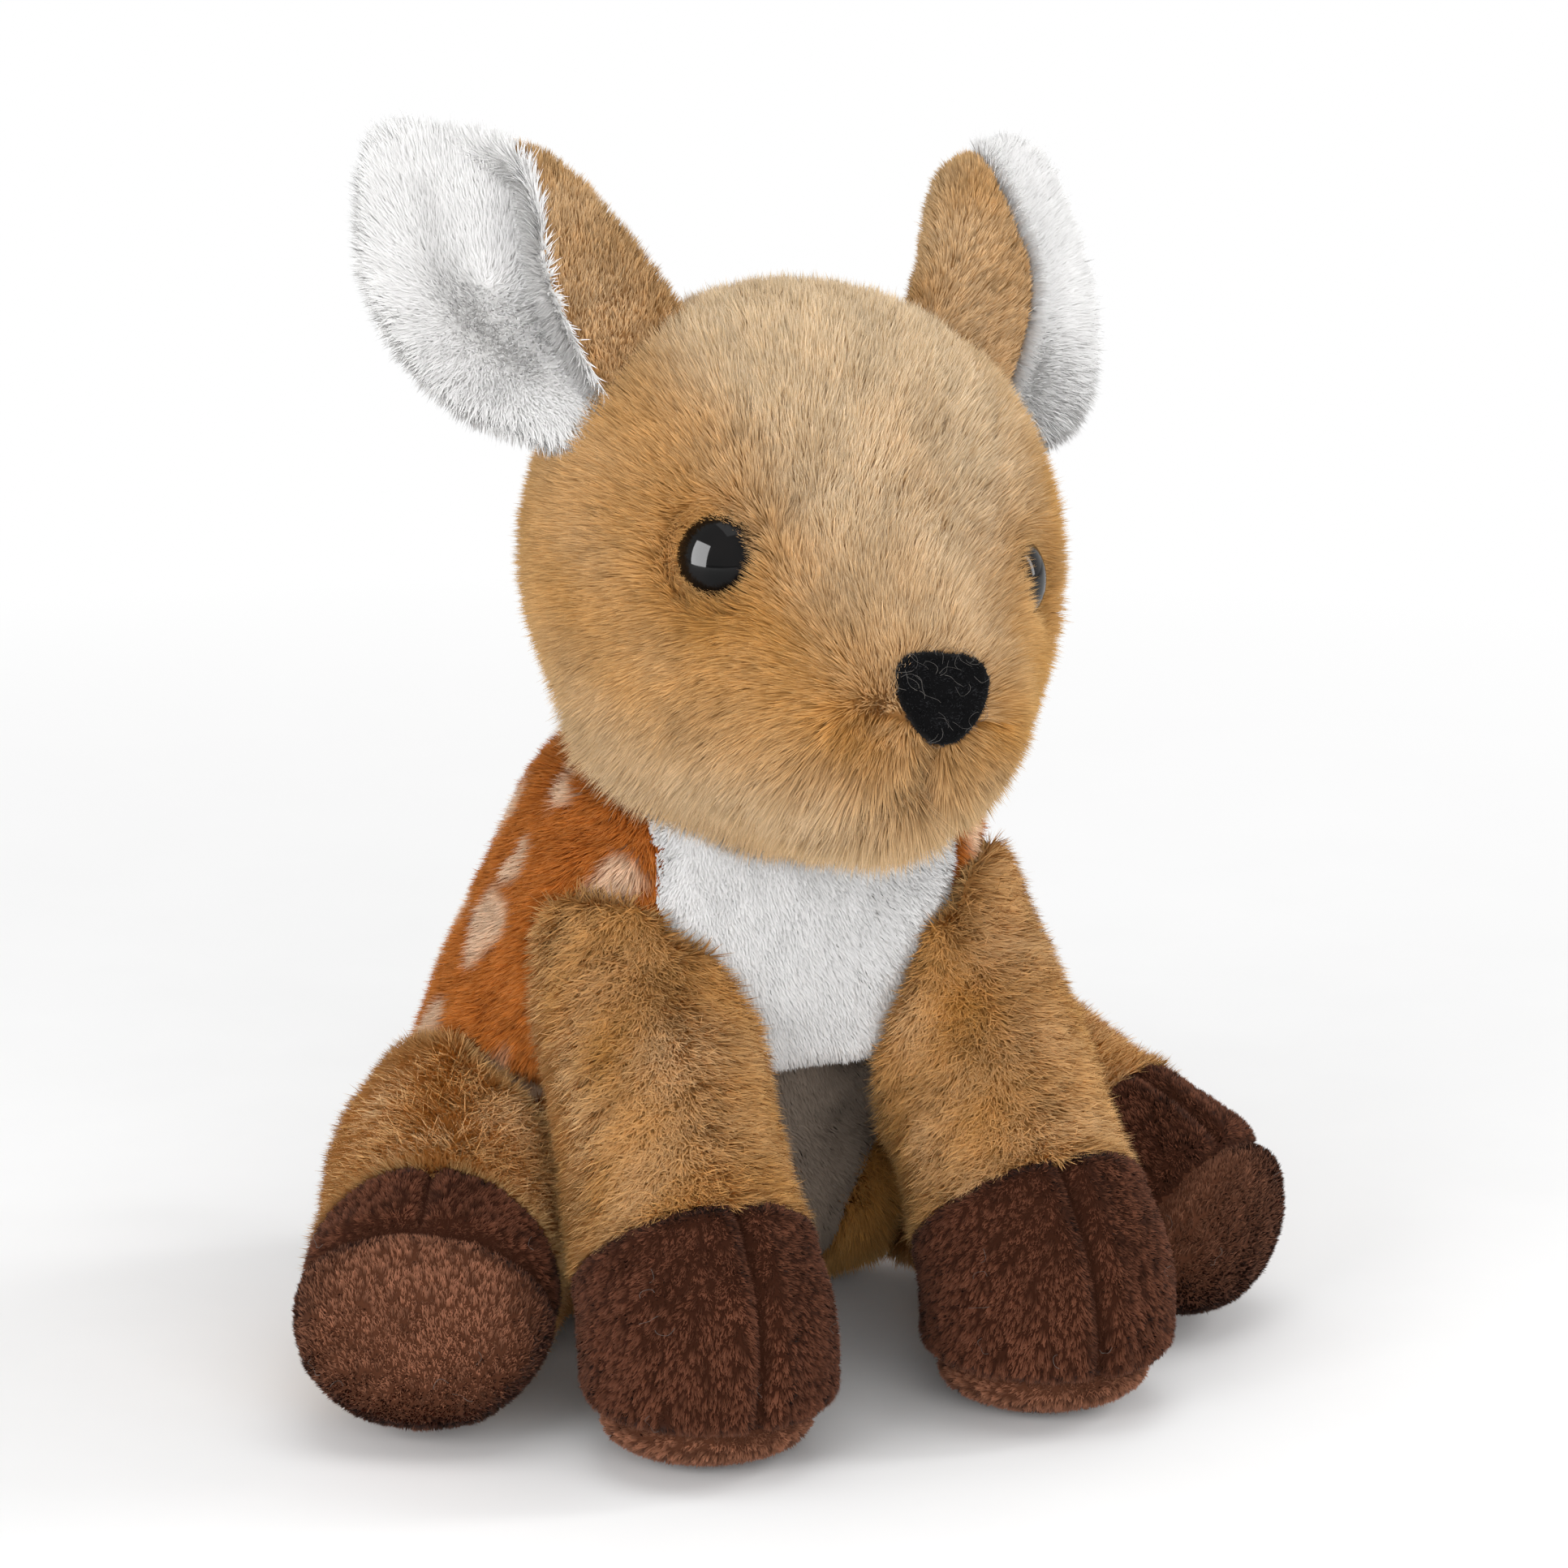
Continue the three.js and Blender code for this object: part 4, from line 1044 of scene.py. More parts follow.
def head_grow(points):
    """The pile is longer under the jaw, where it hangs over the bib, and in a tuft at the lip."""
    q = in_head(points)
    tuft = np.exp(-(np.linalg.norm(q - np.array(TUFT_AT), axis=1) / TUFT_REACH) ** 2)
    long = 1 + BEARD_LONGER * np.clip((BEARD_TOP - q[:, 2]) / BEARD_FADE, 0, 1) + TUFT_LONGER * tuft
    return long * (1 - 0.6 * mouth_line(q))


dress(
    head, "head",
    dict(dict.fromkeys(HEAD_NODES, TAN_PILE), forehead_gusset=("forehead", "light_tan_plush")),
    dict.fromkeys(HEAD_NODES, head_comb), ["head_stuffing"], face_pale_painted_light_and_shade, head_grow, clear,
)

# %% [markdown]
# ## Eyes
# A safety eye is a turned dome on a shank that a washer holds inside the head. A turned form is an outline
# spun round its axis, so the dome and the shank are one outline of radius and height.

# %% Eyes
TURN_STEPS = 48
EYE_RADIUS, EYE_DOME = 7.0, 4.9
EYE_RIM, EYE_BACK = -0.6, -1.0  # heights of the rim and the flat back
SHANK_RADIUS, SHANK_END = 2.2, -8.5


def spun(label, outline, place, way, material):
    """A turned form: an outline of radius and height, spun round an axis."""
    form = bmesh.new()
    line = [form.verts.new((radius * MM, 0, height * MM)) for radius, height in outline]
    edges = [form.edges.new(pair) for pair in zip(line, line[1:])]
    bmesh.ops.spin(form, geom=line + edges, cent=(0, 0, 0), axis=(0, 0, 1), angle=2 * math.pi,
                   steps=TURN_STEPS, use_merge=True)
    bmesh.ops.remove_doubles(form, verts=form.verts, dist=1e-6)
    bmesh.ops.recalc_face_normals(form, faces=form.faces)
    turn = Vector((0, 0, 1)).rotation_difference(Vector(way)).to_matrix().to_4x4()
    bmesh.ops.transform(form, matrix=Matrix.Translation(Vector(place) * MM) @ turn, verts=form.verts)
    mesh = mesh_from(label, form)
    mesh.polygons.foreach_set("use_smooth", np.ones(len(mesh.polygons), bool))
    mesh.materials.append(material)
    return linked(label, mesh)


dome = [(EYE_RADIUS * math.sin(a), EYE_DOME * math.cos(a)) for a in np.linspace(0, math.pi / 2, 13)]
rim = [(EYE_RADIUS * 0.97, EYE_RIM), (EYE_RADIUS * 0.8, EYE_BACK)]
shank = [(SHANK_RADIUS, EYE_BACK), (SHANK_RADIUS, SHANK_END), (0, SHANK_END)]
for word, side in EYES.items():
    place, way = eye_frame(side)
    eye = spun("safety_eye_" + word, dome + rim + shank, place, way, MATERIALS["eye_plastic"])
    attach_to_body(eye, "head")
    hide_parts("eye_" + word, "eye_washer_" + word)
    print(eye.name, len(eye.data.polygons))

# %% [markdown]
# ## Nose
# The nose is a flocked moulding: a smooth form under very short fibres that point every way. A few loose
# hairs are caught on it, each a thin curve that creeps over the form and is then made a mesh.

# %% Nose
nose = make_skin("nose_form", ["nose"], [], voxel=1.0, cap=0.3)
draw_in(nose, {"nose": 0.4})
dice = np.random.default_rng(SEED + 9)
sown = scatter(nose, dice, PILES["flock"]["density"])
hair = fibres(sown, smooth_noise(sown["root"], 5.0, SEED + 8, 3), PILES["flock"], dice)
flocked = pile_piece("flocked_nose", nose, np.ones(len(nose["faces"]), bool), hair, MATERIALS["nose_flock"])
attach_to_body(flocked, "head")
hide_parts("nose", "nose_washer")

HAIR_FACING = 0.3  # the least cosine between the skin and the way that shows
HAIR_TURN, HAIR_LIFT, HAIR_WAVE = 25, (0.5, 1.1), 0.4  # degrees a step, mm off the skin, mm up and down
HAIR_STEPS, HAIR_STEP_SHARE, HAIR_LOWEST = (6, 11), 8, 0.0003  # fewest and most, steps to a reach, metres


def loose_hairs(label, skin, facing, count, reach, thick, body):
    """Fine loose hairs that lie on a form, each a thin curve over its skin."""
    tree = BVHTree.FromPolygons([Vector(p) for p in skin["points"]], [tuple(f) for f in skin["faces"]])
    dice = np.random.default_rng(SEED + 50 + count)
    shown = np.flatnonzero(skin["normals"] @ np.array(facing) > HAIR_FACING)
    curve = bpy.data.curves.new(label, "CURVE")
    curve.dimensions = "3D"
    curve.bevel_depth = thick / 2 * MM
    curve.bevel_resolution = 0
    for start in dice.choice(shown, count):
        place = Vector(skin["points"][start])
        way = Vector(dice.normal(size=3))
        turn = dice.uniform(-HAIR_TURN, HAIR_TURN)
        lift = dice.uniform(*HAIR_LIFT)
        steps = int(dice.integers(*HAIR_STEPS))
        line = curve.splines.new("POLY")
        line.points.add(steps - 1)
        for k in range(steps):
            near, up, _, _ = tree.find_nearest(place)
            spot = (near + up * (lift + HAIR_WAVE * math.sin(k))) * MM
            line.points[k].co = (spot.x, spot.y, max(spot.z, HAIR_LOWEST), 1)
            way = (way - way.dot(up) * up).normalized()
            way.rotate(Matrix.Rotation(math.radians(turn), 3, up))
            place = near + way * (reach / HAIR_STEP_SHARE)
    holder = linked(label, curve)
    mesh = bpy.data.meshes.new_from_object(holder.evaluated_get(bpy.context.evaluated_depsgraph_get()))
    bpy.data.objects.remove(holder)
    mesh.materials.clear()
    mesh.materials.append(MATERIALS["lint"])
    piece = linked(label, mesh)
    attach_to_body(piece, body)
    print(label, len(mesh.polygons))


loose_hairs("nose_lint", nose, nose_way, count=40, reach=4.0, thick=0.04, body="head")

# %% [markdown]
# ## The seams of a leg
# Each leg is a plush sleeve sewn to a velour hoof of two halves and a sole. Its three seams lie in planes:
# one at the ankle, one along the middle and one round the sole. A plane is a direction and a place on it,
# given for the left legs, and the right ones are mirrored.

# %% Seams of a leg
FRONT = {"middle": unit(np.array([0.99854, 0, 0.05402])), "middle_at": np.array([26.0, -44.0, 74.0]),
         "ankle": np.array([0.0487, -0.6329, -0.7727]), "ankle_at": np.array([28.83, -73.97, 32.16]),
         "sole": np.array([0, 0, -1.0]), "sole_at": np.array([29.3, -82.5, 8.5]), "grain": (0, 0.1, -1)}
HIND = {"middle": np.array([0.84118, 0.54076, 0]), "middle_at": np.array([32.0, -2.0, 29.0]),
        "ankle": np.array([0.54076, -0.84118, 0]), "ankle_at": np.array([61.2, -47.42, 29.0]),
        "sole": unit(np.array([0.54076, -0.84118, -0.45])), "sole_at": np.array([70.39, -61.72, 44.0]),
        "grain": (-0.3, 0.45, -0.3)}
SOLE_SHIFT = {"left": 6.0, "right": 0.0}  # the left hind sole is sewn further out than the right one


def leg_planes(at, lines, mirror):
    """How far each place is below the ankle seam, beside the middle seam and past the sole seam."""
    return [(at - lines[name + "_at"] * mirror) @ (lines[name] * mirror)
            for name in ("ankle", "middle", "sole")]


def leg_panel(lines, mirror):
    """A function that tells which of a leg's five panels each place is on."""
    def which(at):
        below, offset, sole = leg_planes(at, lines, mirror)
        half = np.where(offset > 0, 0, 1)
        return np.where(below < 0, half, np.where(sole > 0, 4, 2 + half))
    return which


print("seams of a hind leg:", [name for name in HIND if name + "_at" in HIND])

# %% [markdown]
# ## Legs
# The nap of the plush runs down the leg and away from its middle seam. The hoof's seams are pressed in as
# grooves, deeper on the front hooves, and its tufts lie the way that the velour was cut. The leg's plush
# reaches up to the joint, so it is left where it stands and doesn't follow the leg when it lifts or splays.

# %% Legs
LEG_PILES = (2.4, 2.4, 0.5, 0.5, 0.5)  # how far the pile of each panel draws the skin in
GROOVES = {"front": 2.0, "hind": 1.4}
FURS = {"front": ("leg", "tan_plush"), "hind": ("hind_leg_painted_light", "tan_plush")}
# the legs take some paler tan of their own; the hind legs' larger share is painted light on their shaded tops
LEG_PALE = {"front": 0.2, "hind": 0.3}
PALE_CHANGE, PALE_SIZE = 0.1, 18.0  # how far a leg's paleness changes, and over how many mm
SOLE_NAPS = {"front": fixed(0, 1, 0), "hind": fixed(0, 0, 1)}
FUR_FALL, FUR_PART, FUR_PARTING = 0.75, 0.65, 12.0  # shares of down and aside, and mm over which it parts
BEND_FROM, BEND_TO = -6, 40  # mm down the leg from its joint
HOOF_SHOWS = (-0.3, -0.8, 0.5)


def leg_comb(lines, mirror):
    """A comb that runs down the leg and away from its middle."""
    def comb(at):
        middle, ankle = lines["middle"] * mirror, lines["ankle"] * mirror
        off = (at - lines["middle_at"] * mirror) @ middle
        side = np.tanh(off / FUR_PARTING)[:, None]
        return FUR_FALL * ankle + FUR_PART * side * middle
    return comb


def pale_by(share):
    """A share of the paler tan that changes a little from place to place."""
    return lambda at: np.clip(share + PALE_CHANGE * smooth_noise(at, PALE_SIZE, SEED + 7)[:, 0], 0, 1)


for (end, word), names in LEG_NODES.items():
    lines = FRONT
    if end == "hind":
        lines = dict(HIND, sole_at=HIND["sole_at"] + SOLE_SHIFT[word] * HIND["sole"])
    mirror = np.array([1.0 if word == "left" else -1.0, 1, 1])
    body = f"{end}_leg_{word}"
    leg = make_skin(body, names, [f"{end}_leg_stuffing_{word}"], voxel=2.6, cap=1.6)
    others = TORSO + [n for n in ALL_LEGS if n not in names]
    draw_in(leg, dict(zip(names, LEG_PILES)), others)
    below, offset, sole = leg_planes(leg["points"], lines, mirror)
    middle = np.where((below > 0) & (sole < 0), np.abs(offset), NO_SEAM)
    round_sole = np.where(below > 0, np.abs(sole), NO_SEAM)
    leg["seam"] = np.minimum(np.minimum(middle, round_sole), np.abs(below) + 1.0)
    leg["which"] = leg_panel(lines, mirror)
    leg["panel"] = leg["which"](leg["points"])
    groove = np.where(below > -1, GROOVES[end], 0.0)
    sew(leg, depth=groove, width=1.4, bulge=groove / 3)
    find_room(leg, others)
    hoofed = ("velour", "hoof_velour")
    # the left hind sole takes the shaded copy of the velour: painted shade on the side away from the lamps
    under = ("velour_painted_shade" if body == "hind_leg_left" else "velour", "sole_velour")
    fabrics = dict(zip(names, (FURS[end], FURS[end], hoofed, hoofed, under)))
    fur = leg_comb(lines, mirror)
    nap = fixed(*(np.array(lines["grain"]) * mirror))
    combs = dict(zip(names, (fur, fur, nap, nap, SOLE_NAPS[end])))
    bend_from, bend_to = ((lines["middle_at"] + far * lines["ankle"]) * mirror
                          for far in (BEND_FROM, BEND_TO))
    dress(leg, body, fabrics, combs, [f"{end}_leg_stuffing_{word}"], pale_by(LEG_PALE[end]),
          bend=("torso", bend_from, bend_to))
    on_hoof = dict(leg, normals=leg["normals"] * (below > 2)[:, None])
    loose_hairs(f"{end}_hoof_lint_{word}", on_hoof, HOOF_SHOWS, count=7, reach=3.5, thick=0.06, body=body)

# %% [markdown]
# ## The leaf of an ear
# An ear is two fabrics sewn back to back and folded where it meets the head. It is drawn as a leaf whose
# inner edge rolls forward, most at the root. Five tables give the leaf's outline and its roll at a row of
# heights, in a frame of the ear's own: x along the seam on the head, y the way it looks, z to the tip.

# %% Leaf of an ear
EAR_LEAN, EAR_TURN_BACK = math.radians(52.5), math.radians(14)  # from upright to the side, and backwards
EAR_LEVEL = math.radians(6)  # the ears tilt less than the head does
EAR_OUT = np.array([math.sin(EAR_LEAN) * math.cos(EAR_TURN_BACK),
                    math.sin(EAR_LEAN) * math.sin(EAR_TURN_BACK), math.cos(EAR_LEAN)])
EAR_WAY = unit(np.array([0.41, 0.71, 0.57]))
seam_line = np.array([-0.7, 0.21, 0.68])
EAR_EDGE = unit(seam_line - (seam_line @ EAR_OUT) * EAR_OUT)
EAR_LOOK = unit(np.cross(EAR_WAY, EAR_EDGE))
EAR_ROOT = EAR_OUT * (HEAD_RADIUS + 3.4)
EAR_HEIGHTS = [-8, 0, 8, 16, 24, 30, 37, 43, 46.5, 48.5]
EAR_OUTER = [-8, -13.5, -17.5, -19.5, -19.5, -18.5, -16, -11, -7, -3]
EAR_FOLD = [15.5, 15.5, 15.5, 15.5, 14.5, 12.5, 9.5, 5, 2, -1]
EAR_RIM = [-13, -8, 0, 8, 12.5, 12.5, 9.5, 5, 2, -1]
EAR_RIM_OUT = [9, 9, 9, 8.5, 6.5, 3, 0, -1, -1, -1]
HOLLOW_HEIGHTS, HOLLOW_DEPTHS = [0, 15, 30, 45], [-2.6, -3.2, -2.6, -1.1]


def rounded(line, count):
    """A smooth run of places along a line of corners, which keeps the line's ends."""
    for _ in range(3):
        cut_a, cut_b = 0.75 * line[:-1] + 0.25 * line[1:], 0.25 * line[:-1] + 0.75 * line[1:]
        inner = np.stack([cut_a, cut_b], 1).reshape(-1, 2)
        line = np.concatenate([line[:1], inner[1:-1], line[-1:]])
    run = np.concatenate([[0], np.cumsum(np.linalg.norm(np.diff(line, axis=0), axis=1))])
    steps = np.linspace(0, run[-1], count)
    return np.stack([np.interp(steps, run, line[:, 0]), np.interp(steps, run, line[:, 1])], 1)


def ear_leaf(rows, columns):
    """Places on the middle of the leaf, row by row from root to tip, in the ear's own frame."""
    points = np.zeros((rows, columns, 3))
    for i, z in enumerate(np.linspace(EAR_HEIGHTS[0], EAR_HEIGHTS[-1], rows)):
        outer, fold, rim, out = (np.interp(z, EAR_HEIGHTS, sizes)
                                 for sizes in (EAR_OUTER, EAR_FOLD, EAR_RIM, EAR_RIM_OUT))
        folded = np.clip((fold - rim) / 6 + out / 9, 0, 1)
        hollow = np.interp(z, HOLLOW_HEIGHTS, HOLLOW_DEPTHS)
        section = np.array([(outer, -0.5), (0.65 * outer, 0.4 * hollow), (0.3 * fold, hollow),
                            (fold + 2 * folded, 0.5 * hollow), (fold + 1.5 * folded, 0.6 * out), (rim, out)])
        points[i, :, :2] = rounded(section, columns)
        points[i, :, 2] = z
    return points


def ear_places(points, side):
    """From the ear's own frame to the toy's."""
    placed = points[:, :1] * EAR_EDGE + points[:, 1:2] * EAR_LOOK + points[:, 2:] * EAR_WAY + EAR_ROOT
    placed = placed * np.array([side, 1, 1])
    cosine, sine = math.cos(EAR_LEVEL), math.sin(EAR_LEVEL)
    return placed @ np.array([[cosine, 0, -sine], [0, 1, 0], [sine, 0, cosine]]) + HEAD_AT


print("ear: up to", EAR_HEIGHTS[-1], "mm from its root")

# %% [markdown]
# ## Ears
# The leaf gets two sides and a round edge: the white lining is on the inside, plump beside the edge, and
# the tan back on the outside. The pile of the lining is combed outwards from the hollow. The rows at the
# root sink into the head, and since they reach the joint, the ear's pieces are left where they stand.

# %% Ears
ROWS, COLUMNS = 30, 36
EAR_HALF_THICK, EAR_PLUMP, PLUMP_AT, PLUMP_OVER = 1.2, 1.8, 6, 5
EAR_PILE, BACK_PALE = 2.4, 0.45
FULL_EDGE, FULL_EDGE_OVER = {"lining": 0.5, "back": 0}, 4  # the lining's pile is longer at its edge
EDGE_SEAM = {"lining": 1.0, "back": 0.2}  # the share of the length that is left at the edge
BOWL_AT = [[-3.0, -5, 20]]
EAR_BEND = [[0, 0, -6.0], [0, 0, 12.0]]
EAR_SUNK = 6  # mm below the head's skin
SINK_TO, SINK_TO_FOLDED, SINK_FADE = 4, 9, 12  # mm up the ear, more at its fold, and mm of fading


def grid_faces(rows, columns):
    """The triangles of a grid of places."""
    index = np.arange(rows * columns).reshape(rows, columns)
    a, b, c, d = index[:-1, :-1], index[:-1, 1:], index[1:, 1:], index[1:, :-1]
    return np.concatenate([np.stack([a, b, c], -1).reshape(-1, 3), np.stack([a, c, d], -1).reshape(-1, 3)])


def ear_shell(placed, faces, normals, rows, columns):
    """A closed leaf: the lining, the back and a round edge that belongs to the lining."""
    index = np.arange(rows * columns).reshape(rows, columns)
    loop = np.concatenate([index[:, 0], index[-1, 1:-1], index[::-1, -1]])
    inner = np.concatenate([index[:, 1], index[-2, 1:-1], index[::-1, -2]])
    count = rows * columns
    brim = placed[loop] + EAR_HALF_THICK * unit(placed[loop] - placed[inner])
    edge_gap = np.linalg.norm(placed[:, None] - placed[loop][None], axis=2).min(1, keepdims=True)
    front = EAR_HALF_THICK + EAR_PLUMP * np.exp(-((edge_gap - PLUMP_AT) / PLUMP_OVER) ** 2)
    points = np.concatenate([placed + front * normals, placed - EAR_HALF_THICK * normals, brim])
    ring = 2 * count + np.arange(len(loop))
    strips = []
    for upper, lower in ((loop, ring), (ring, loop + count)):
        strips.append(np.stack([upper[:-1], lower[:-1], lower[1:]], 1))
        strips.append(np.stack([upper[:-1], lower[1:], upper[1:]], 1))
    edge = np.concatenate(strips)
    middle = points[edge].mean(1) - placed.mean(0)
    turn = np.cross(points[edge[:, 1]] - points[edge[:, 0]], points[edge[:, 2]] - points[edge[:, 0]])
    if (turn * middle).sum() < 0:
        edge = edge[:, ::-1]
    lining, back = np.concatenate([faces, edge]), faces[:, ::-1] + count
    gaps = np.concatenate([edge_gap[:, 0], edge_gap[:, 0], np.zeros(len(loop))])
    return points, lining, back, normals_of(points, np.concatenate([lining, back])), gaps


for word, side in EYES.items():
    leaf = ear_leaf(ROWS, COLUMNS)
    faces = grid_faces(ROWS, COLUMNS)
    placed = ear_places(leaf.reshape(-1, 3), side)
    way, look = ear_places(np.array([[0, 0, 1.0], [0, 1.0, 0]]), side) - ear_places(np.zeros((1, 3)), side)
    radius = np.linalg.norm(placed - HEAD_AT, axis=1, keepdims=True)
    folded = np.clip(2 * np.tile(np.linspace(0, 1, COLUMNS), ROWS)[:, None] - 1, 0, 1)
    rise = leaf.reshape(-1, 3)[:, 2:]
    rooted = np.clip((SINK_TO + SINK_TO_FOLDED * folded - rise) / SINK_FADE, 0, 1) ** 2
    sunk = np.minimum(radius, HEAD_RADIUS - EAR_SUNK) - radius
    placed = placed + rooted * sunk * unit(placed - HEAD_AT)
    normals = normals_of(placed, faces)
    if normals.reshape(ROWS, COLUMNS, 3)[:, :COLUMNS // 2].mean((0, 1)) @ look < 0:
        faces = faces[:, ::-1]
        normals = -normals
    points, lining, back, normals, gaps = ear_shell(placed, faces, normals, ROWS, COLUMNS)
    bowl = ear_places(np.array(BOWL_AT), side)
    combs = {"lining": lambda at: unit(at - bowl), "back": lambda at: np.broadcast_to(way, at.shape)}
    dice = np.random.default_rng(SEED + 30 + side)
    sides = (("lining", lining, "lining", "white_plush"), ("back", back, "tan", "tan_plush"))
    for part, shown, kind, slot in sides:
        name = f"ear_{part}_{word}"
        skin = {"points": points, "faces": shown, "normals": normals, "seam": gaps,
                "panel": np.zeros(len(points), int), "room": np.full(len(points), OPEN_ROOM)}
        sown = scatter(skin, dice, PILES[kind]["density"])
        spec = dict(PILES[kind], length=EAR_PILE, seam=EDGE_SEAM[part])
        fuller = 1 + FULL_EDGE[part] * np.exp(-(sown["seam"] / FULL_EDGE_OVER) ** 2)
        hair = fibres(sown, combs[part](sown["root"]), spec, dice, lambda at: fuller)
        pale = pale_by(BACK_PALE) if part == "back" else None
        piece = pile_piece(name + "_plush", skin, np.ones(len(shown), bool), hair, MATERIALS[slot], pale)
        attach(piece, "ear_" + word, ("head", *ear_places(np.array(EAR_BEND), side)))
        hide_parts(name)
        print("ear piece:", piece.name, len(piece.data.polygons))

# %% [markdown]
# ## Tail
# The tail is a flat leaf, printed above and white below. Its pile runs from the root to the tip, and its
# pieces, which reach the joint, are left where they stand, as those of the legs are.

# %% Tail
TAIL = ["tail_top", "tail_underside"]
TAIL_ROOT, TAIL_WAY = np.array([0, 31.2, 40.0]), np.array([0, 0.74, 0.67])
TAIL_PILE = 1.2
TAIL_BEND_FROM, TAIL_BEND_TO = -3, 9  # mm along the tail from its joint
tail = make_skin("tail", TAIL, [], voxel=1.6, cap=0.8)
draw_in(tail, dict.fromkeys(TAIL, TAIL_PILE))
dress(tail, "tail", dict(zip(TAIL, (PRINTED, WHITE_PILE))), dict.fromkeys(TAIL, fixed(*TAIL_WAY)), [],
      bend=("torso", TAIL_ROOT + TAIL_BEND_FROM * TAIL_WAY, TAIL_ROOT + TAIL_BEND_TO * TAIL_WAY))

# %% [markdown]
# ## Floor
# The toy sits on a pale matt sheet. A product photograph has no horizon, so the sheet turns to plain white
# for the camera away from the toy, while near the toy it keeps the soft shadow.

# %% Floor
FLOOR_FADE = (0.14, 0.5)  # metres from the middle between which the floor turns white
FLOOR_GRAIN = 33.0  # mm
FLOOR_HALF = 4.0  # metres


def floor_material():
    """Matt white card: even, with a faint grain."""
    material, tree = new_material("pale_floor")
    place = add(tree, "ShaderNodeTexCoord").outputs["Object"]
    grain = add(tree, "ShaderNodeTexNoise", None, {
        "Vector": place, "Scale": scale_for(FLOOR_GRAIN), "Detail": 3.0})
    pale = add(tree, "ShaderNodeValToRGB", None, {"Fac": grain.outputs["Fac"]},
               [(0.3, "#f4f4f4"), (0.7, "#f6f6f6")])
    shader = add(tree, "ShaderNodeBsdfPrincipled", None, {
        "Base Color": pale.outputs["Color"], "Roughness": 0.9})
    reach = add(tree, "ShaderNodeVectorMath", {"operation": "LENGTH"}, {0: place})
    far = add(tree, "ShaderNodeMapRange", None, {
        "Value": reach.outputs["Value"], "From Min": FLOOR_FADE[0], "From Max": FLOOR_FADE[1]})
    seen = add(tree, "ShaderNodeLightPath").outputs["Is Camera Ray"]
    share = add(tree, "ShaderNodeMath", {"operation": "MULTIPLY"}, {0: far.outputs["Result"], 1: seen})
    white = add(tree, "ShaderNodeEmission", None, {"Strength": 1.0})
    mixed = add(tree, "ShaderNodeMixShader", None, {
        0: share.outputs[0], 1: shader.outputs[0], 2: white.outputs[0]})
    finish_material(tree, mixed)
    return material


ground = bmesh.new()
bmesh.ops.create_grid(ground, x_segments=4, y_segments=4, size=FLOOR_HALF)
floor = linked("floor", mesh_from("floor", ground))
floor.data.materials.append(floor_material())
floor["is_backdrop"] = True
print("floor: a square of", 2 * FLOOR_HALF, "m")

# %% [markdown]
# ## Light
# A box of light to the left, a strip across from it, a broad box above and a weak sheet in front are a
# plain studio. The box and the sheet stay out of the polished eyes. What shines there is a window that no
# fabric sees. The world is half as bright as it looks to the camera, so the shadows keep their depth.

# %% Light
CENTRE = (0, -0.03, 0.09)
WORLD_LIGHT, WORLD_SEEN = 0.5, 1.0


def lamp(name, place, size, power):
    """An area lamp that points at the toy."""
    data = bpy.data.lights.new(name, "AREA")
    data.shape = "RECTANGLE"
    data.size, data.size_y = size
    data.energy = power
    thing = linked(name, data)
    thing.location = place
    thing.rotation_euler = (Vector(CENTRE) - Vector(place)).to_track_quat("-Z", "Y").to_euler()
    return thing


lamp("left_box", (-1.15, -0.75, 0.5), (0.65, 0.6), 8.5).visible_glossy = False
lamp("right_strip", (1.2, -0.35, 0.6), (0.2, 0.9), 6.5)
lamp("top_box", (0.0, -0.3, 1.7), (1.2, 1.2), 7.5)
lamp("front_sheet", (-0.35, -1.6, 0.6), (1.2, 0.6), 13).visible_glossy = False
lamp("window", (-1.3, -0.08, 0.41), (0.8, 0.9), 56).visible_diffuse = False

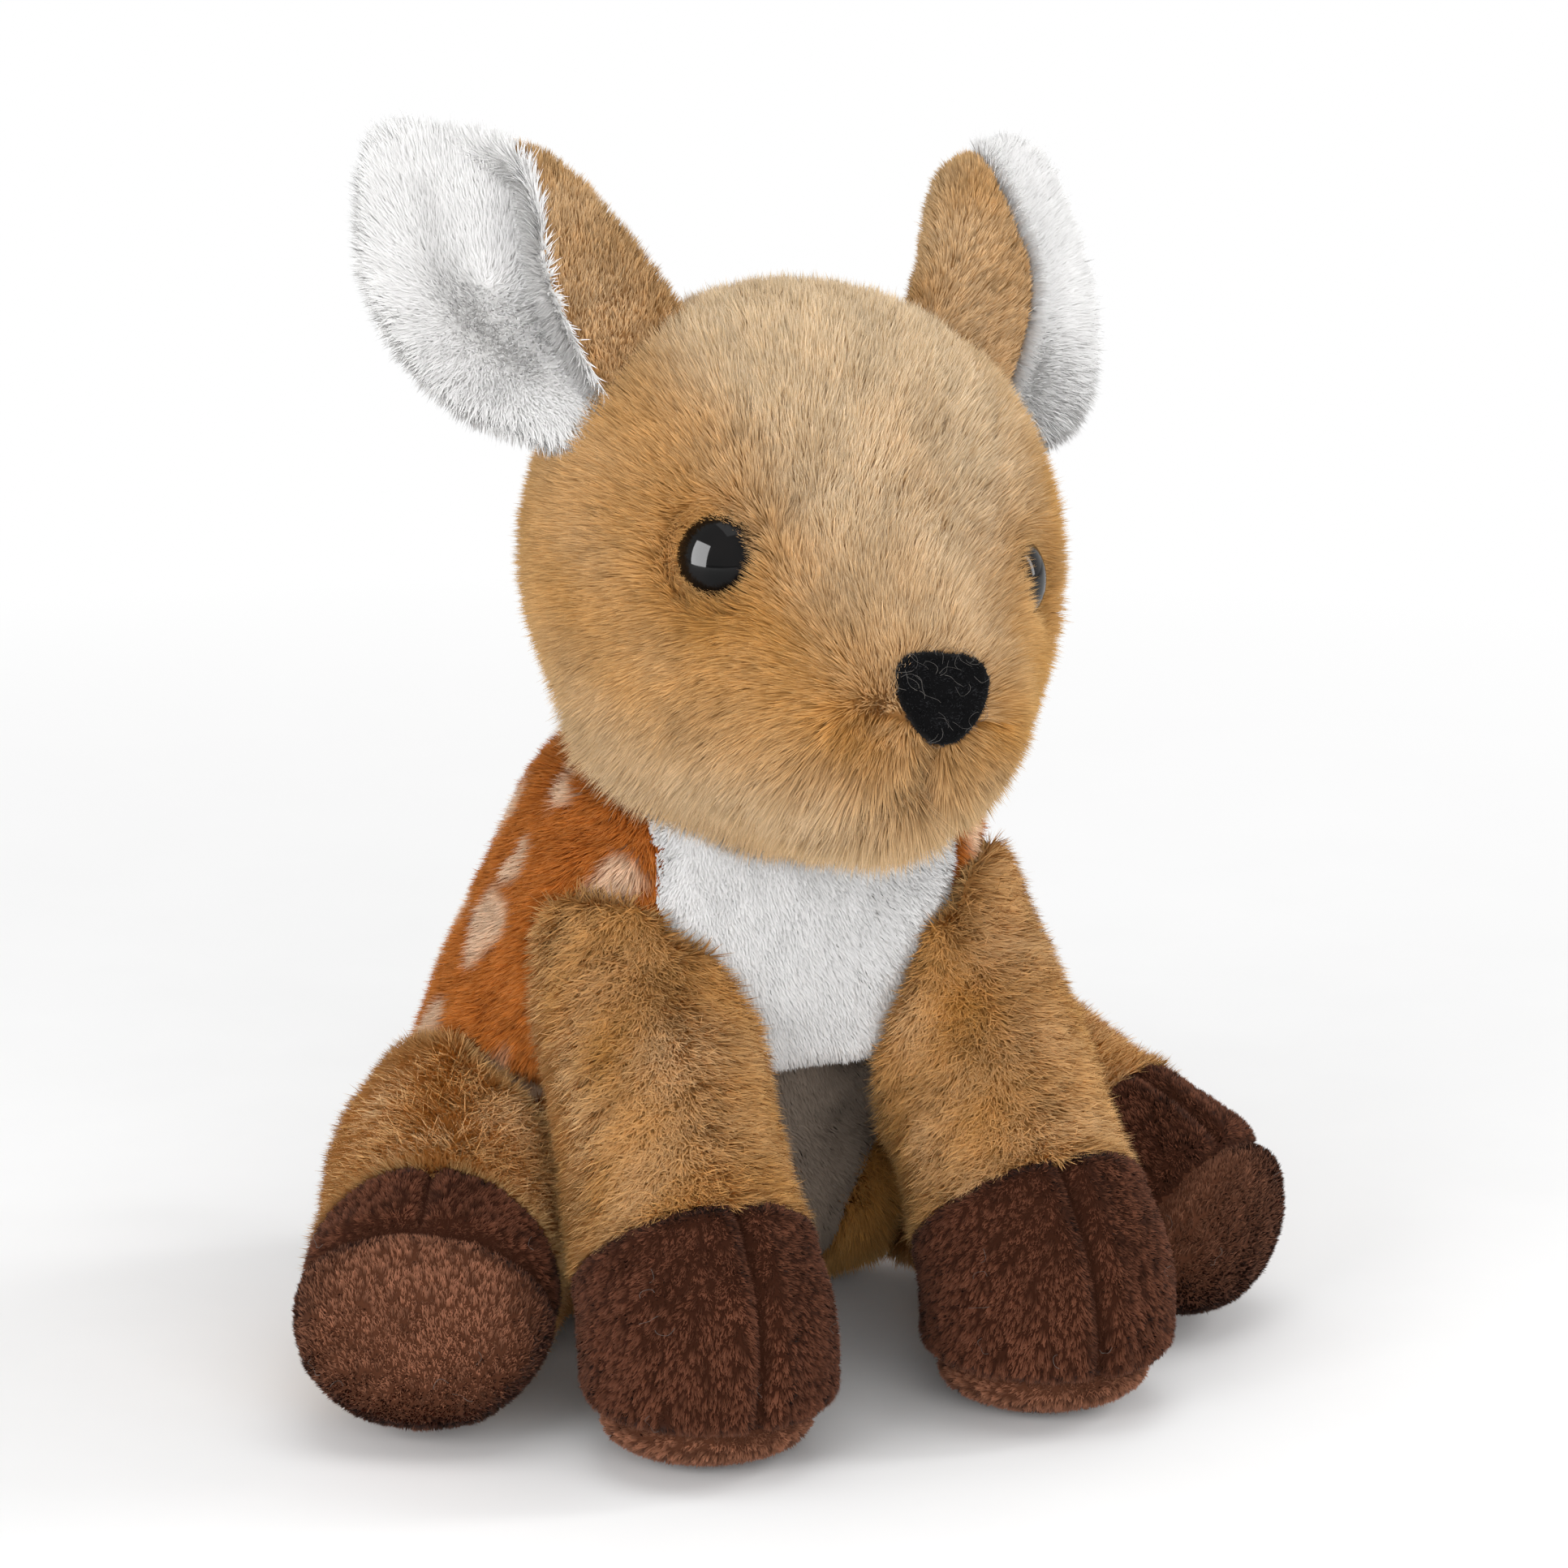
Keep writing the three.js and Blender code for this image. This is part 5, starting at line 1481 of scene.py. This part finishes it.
world = bpy.data.worlds.new("studio")
bpy.context.scene.world = world
world.use_nodes = True
tree = world.node_tree
tree.nodes.clear()
path = add(tree, "ShaderNodeLightPath").outputs
seen = path["Is Camera Ray"]
for ray in ("Is Glossy Ray", "Is Transmission Ray"):
    seen = add(tree, "ShaderNodeMath", {"operation": "MAXIMUM"}, {0: seen, 1: path[ray]}).outputs[0]
strength = add(tree, "ShaderNodeMapRange", None, {"Value": seen, "To Min": WORLD_LIGHT, "To Max": WORLD_SEEN})
air = add(tree, "ShaderNodeBackground", None, {
    "Color": linear("#ffffff"), "Strength": strength.outputs["Result"]})
add(tree, "ShaderNodeOutputWorld", None, {"Surface": air.outputs[0]})
print("lamps:", ", ".join(light.name for light in bpy.data.lights))

# %% [markdown]
# ## Camera
# The camera stands a little to the toy's right and looks slightly down. Its lens is long, as in a product
# photograph, so the hooves in front don't swell. The aim is the toy's middle, shifted in the picture.

# %% Camera
AZIMUTH, ELEVATION = math.radians(-25), math.radians(15)
TOY_MIDDLE = Vector((0, -0.040, 0.090))
SHIFT_RIGHT, SHIFT_UP = 0.00263, 0.00480
CAMERA_DISTANCE, LENS, SENSOR = 1.3, 188.0, 36.0  # metres, and mm

right = Vector((math.cos(AZIMUTH), math.sin(AZIMUTH), 0))
back = Vector((math.sin(AZIMUTH) * math.cos(ELEVATION), -math.cos(AZIMUTH) * math.cos(ELEVATION),
               math.sin(ELEVATION)))
rise = back.cross(right)
aim = TOY_MIDDLE + right * SHIFT_RIGHT + rise * SHIFT_UP
lens = bpy.data.cameras.new("camera")
lens.sensor_width = SENSOR
lens.lens = LENS
lens.clip_start, lens.clip_end = 0.05, 50.0
camera = linked("camera", lens)
camera.location = aim + back * CAMERA_DISTANCE
camera.rotation_euler = (-back).to_track_quat("-Z", "Y").to_euler()
bpy.context.scene.camera = camera
bpy.context.scene.view_settings.view_transform = "Standard"
print("camera at", [round(v, 3) for v in camera.location])

# %% [markdown]
# ## Faces
# The faces of all the shown pieces are counted and printed.

# %% Finish
total = sum(len(p.data.polygons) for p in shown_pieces())
print("faces:", total)
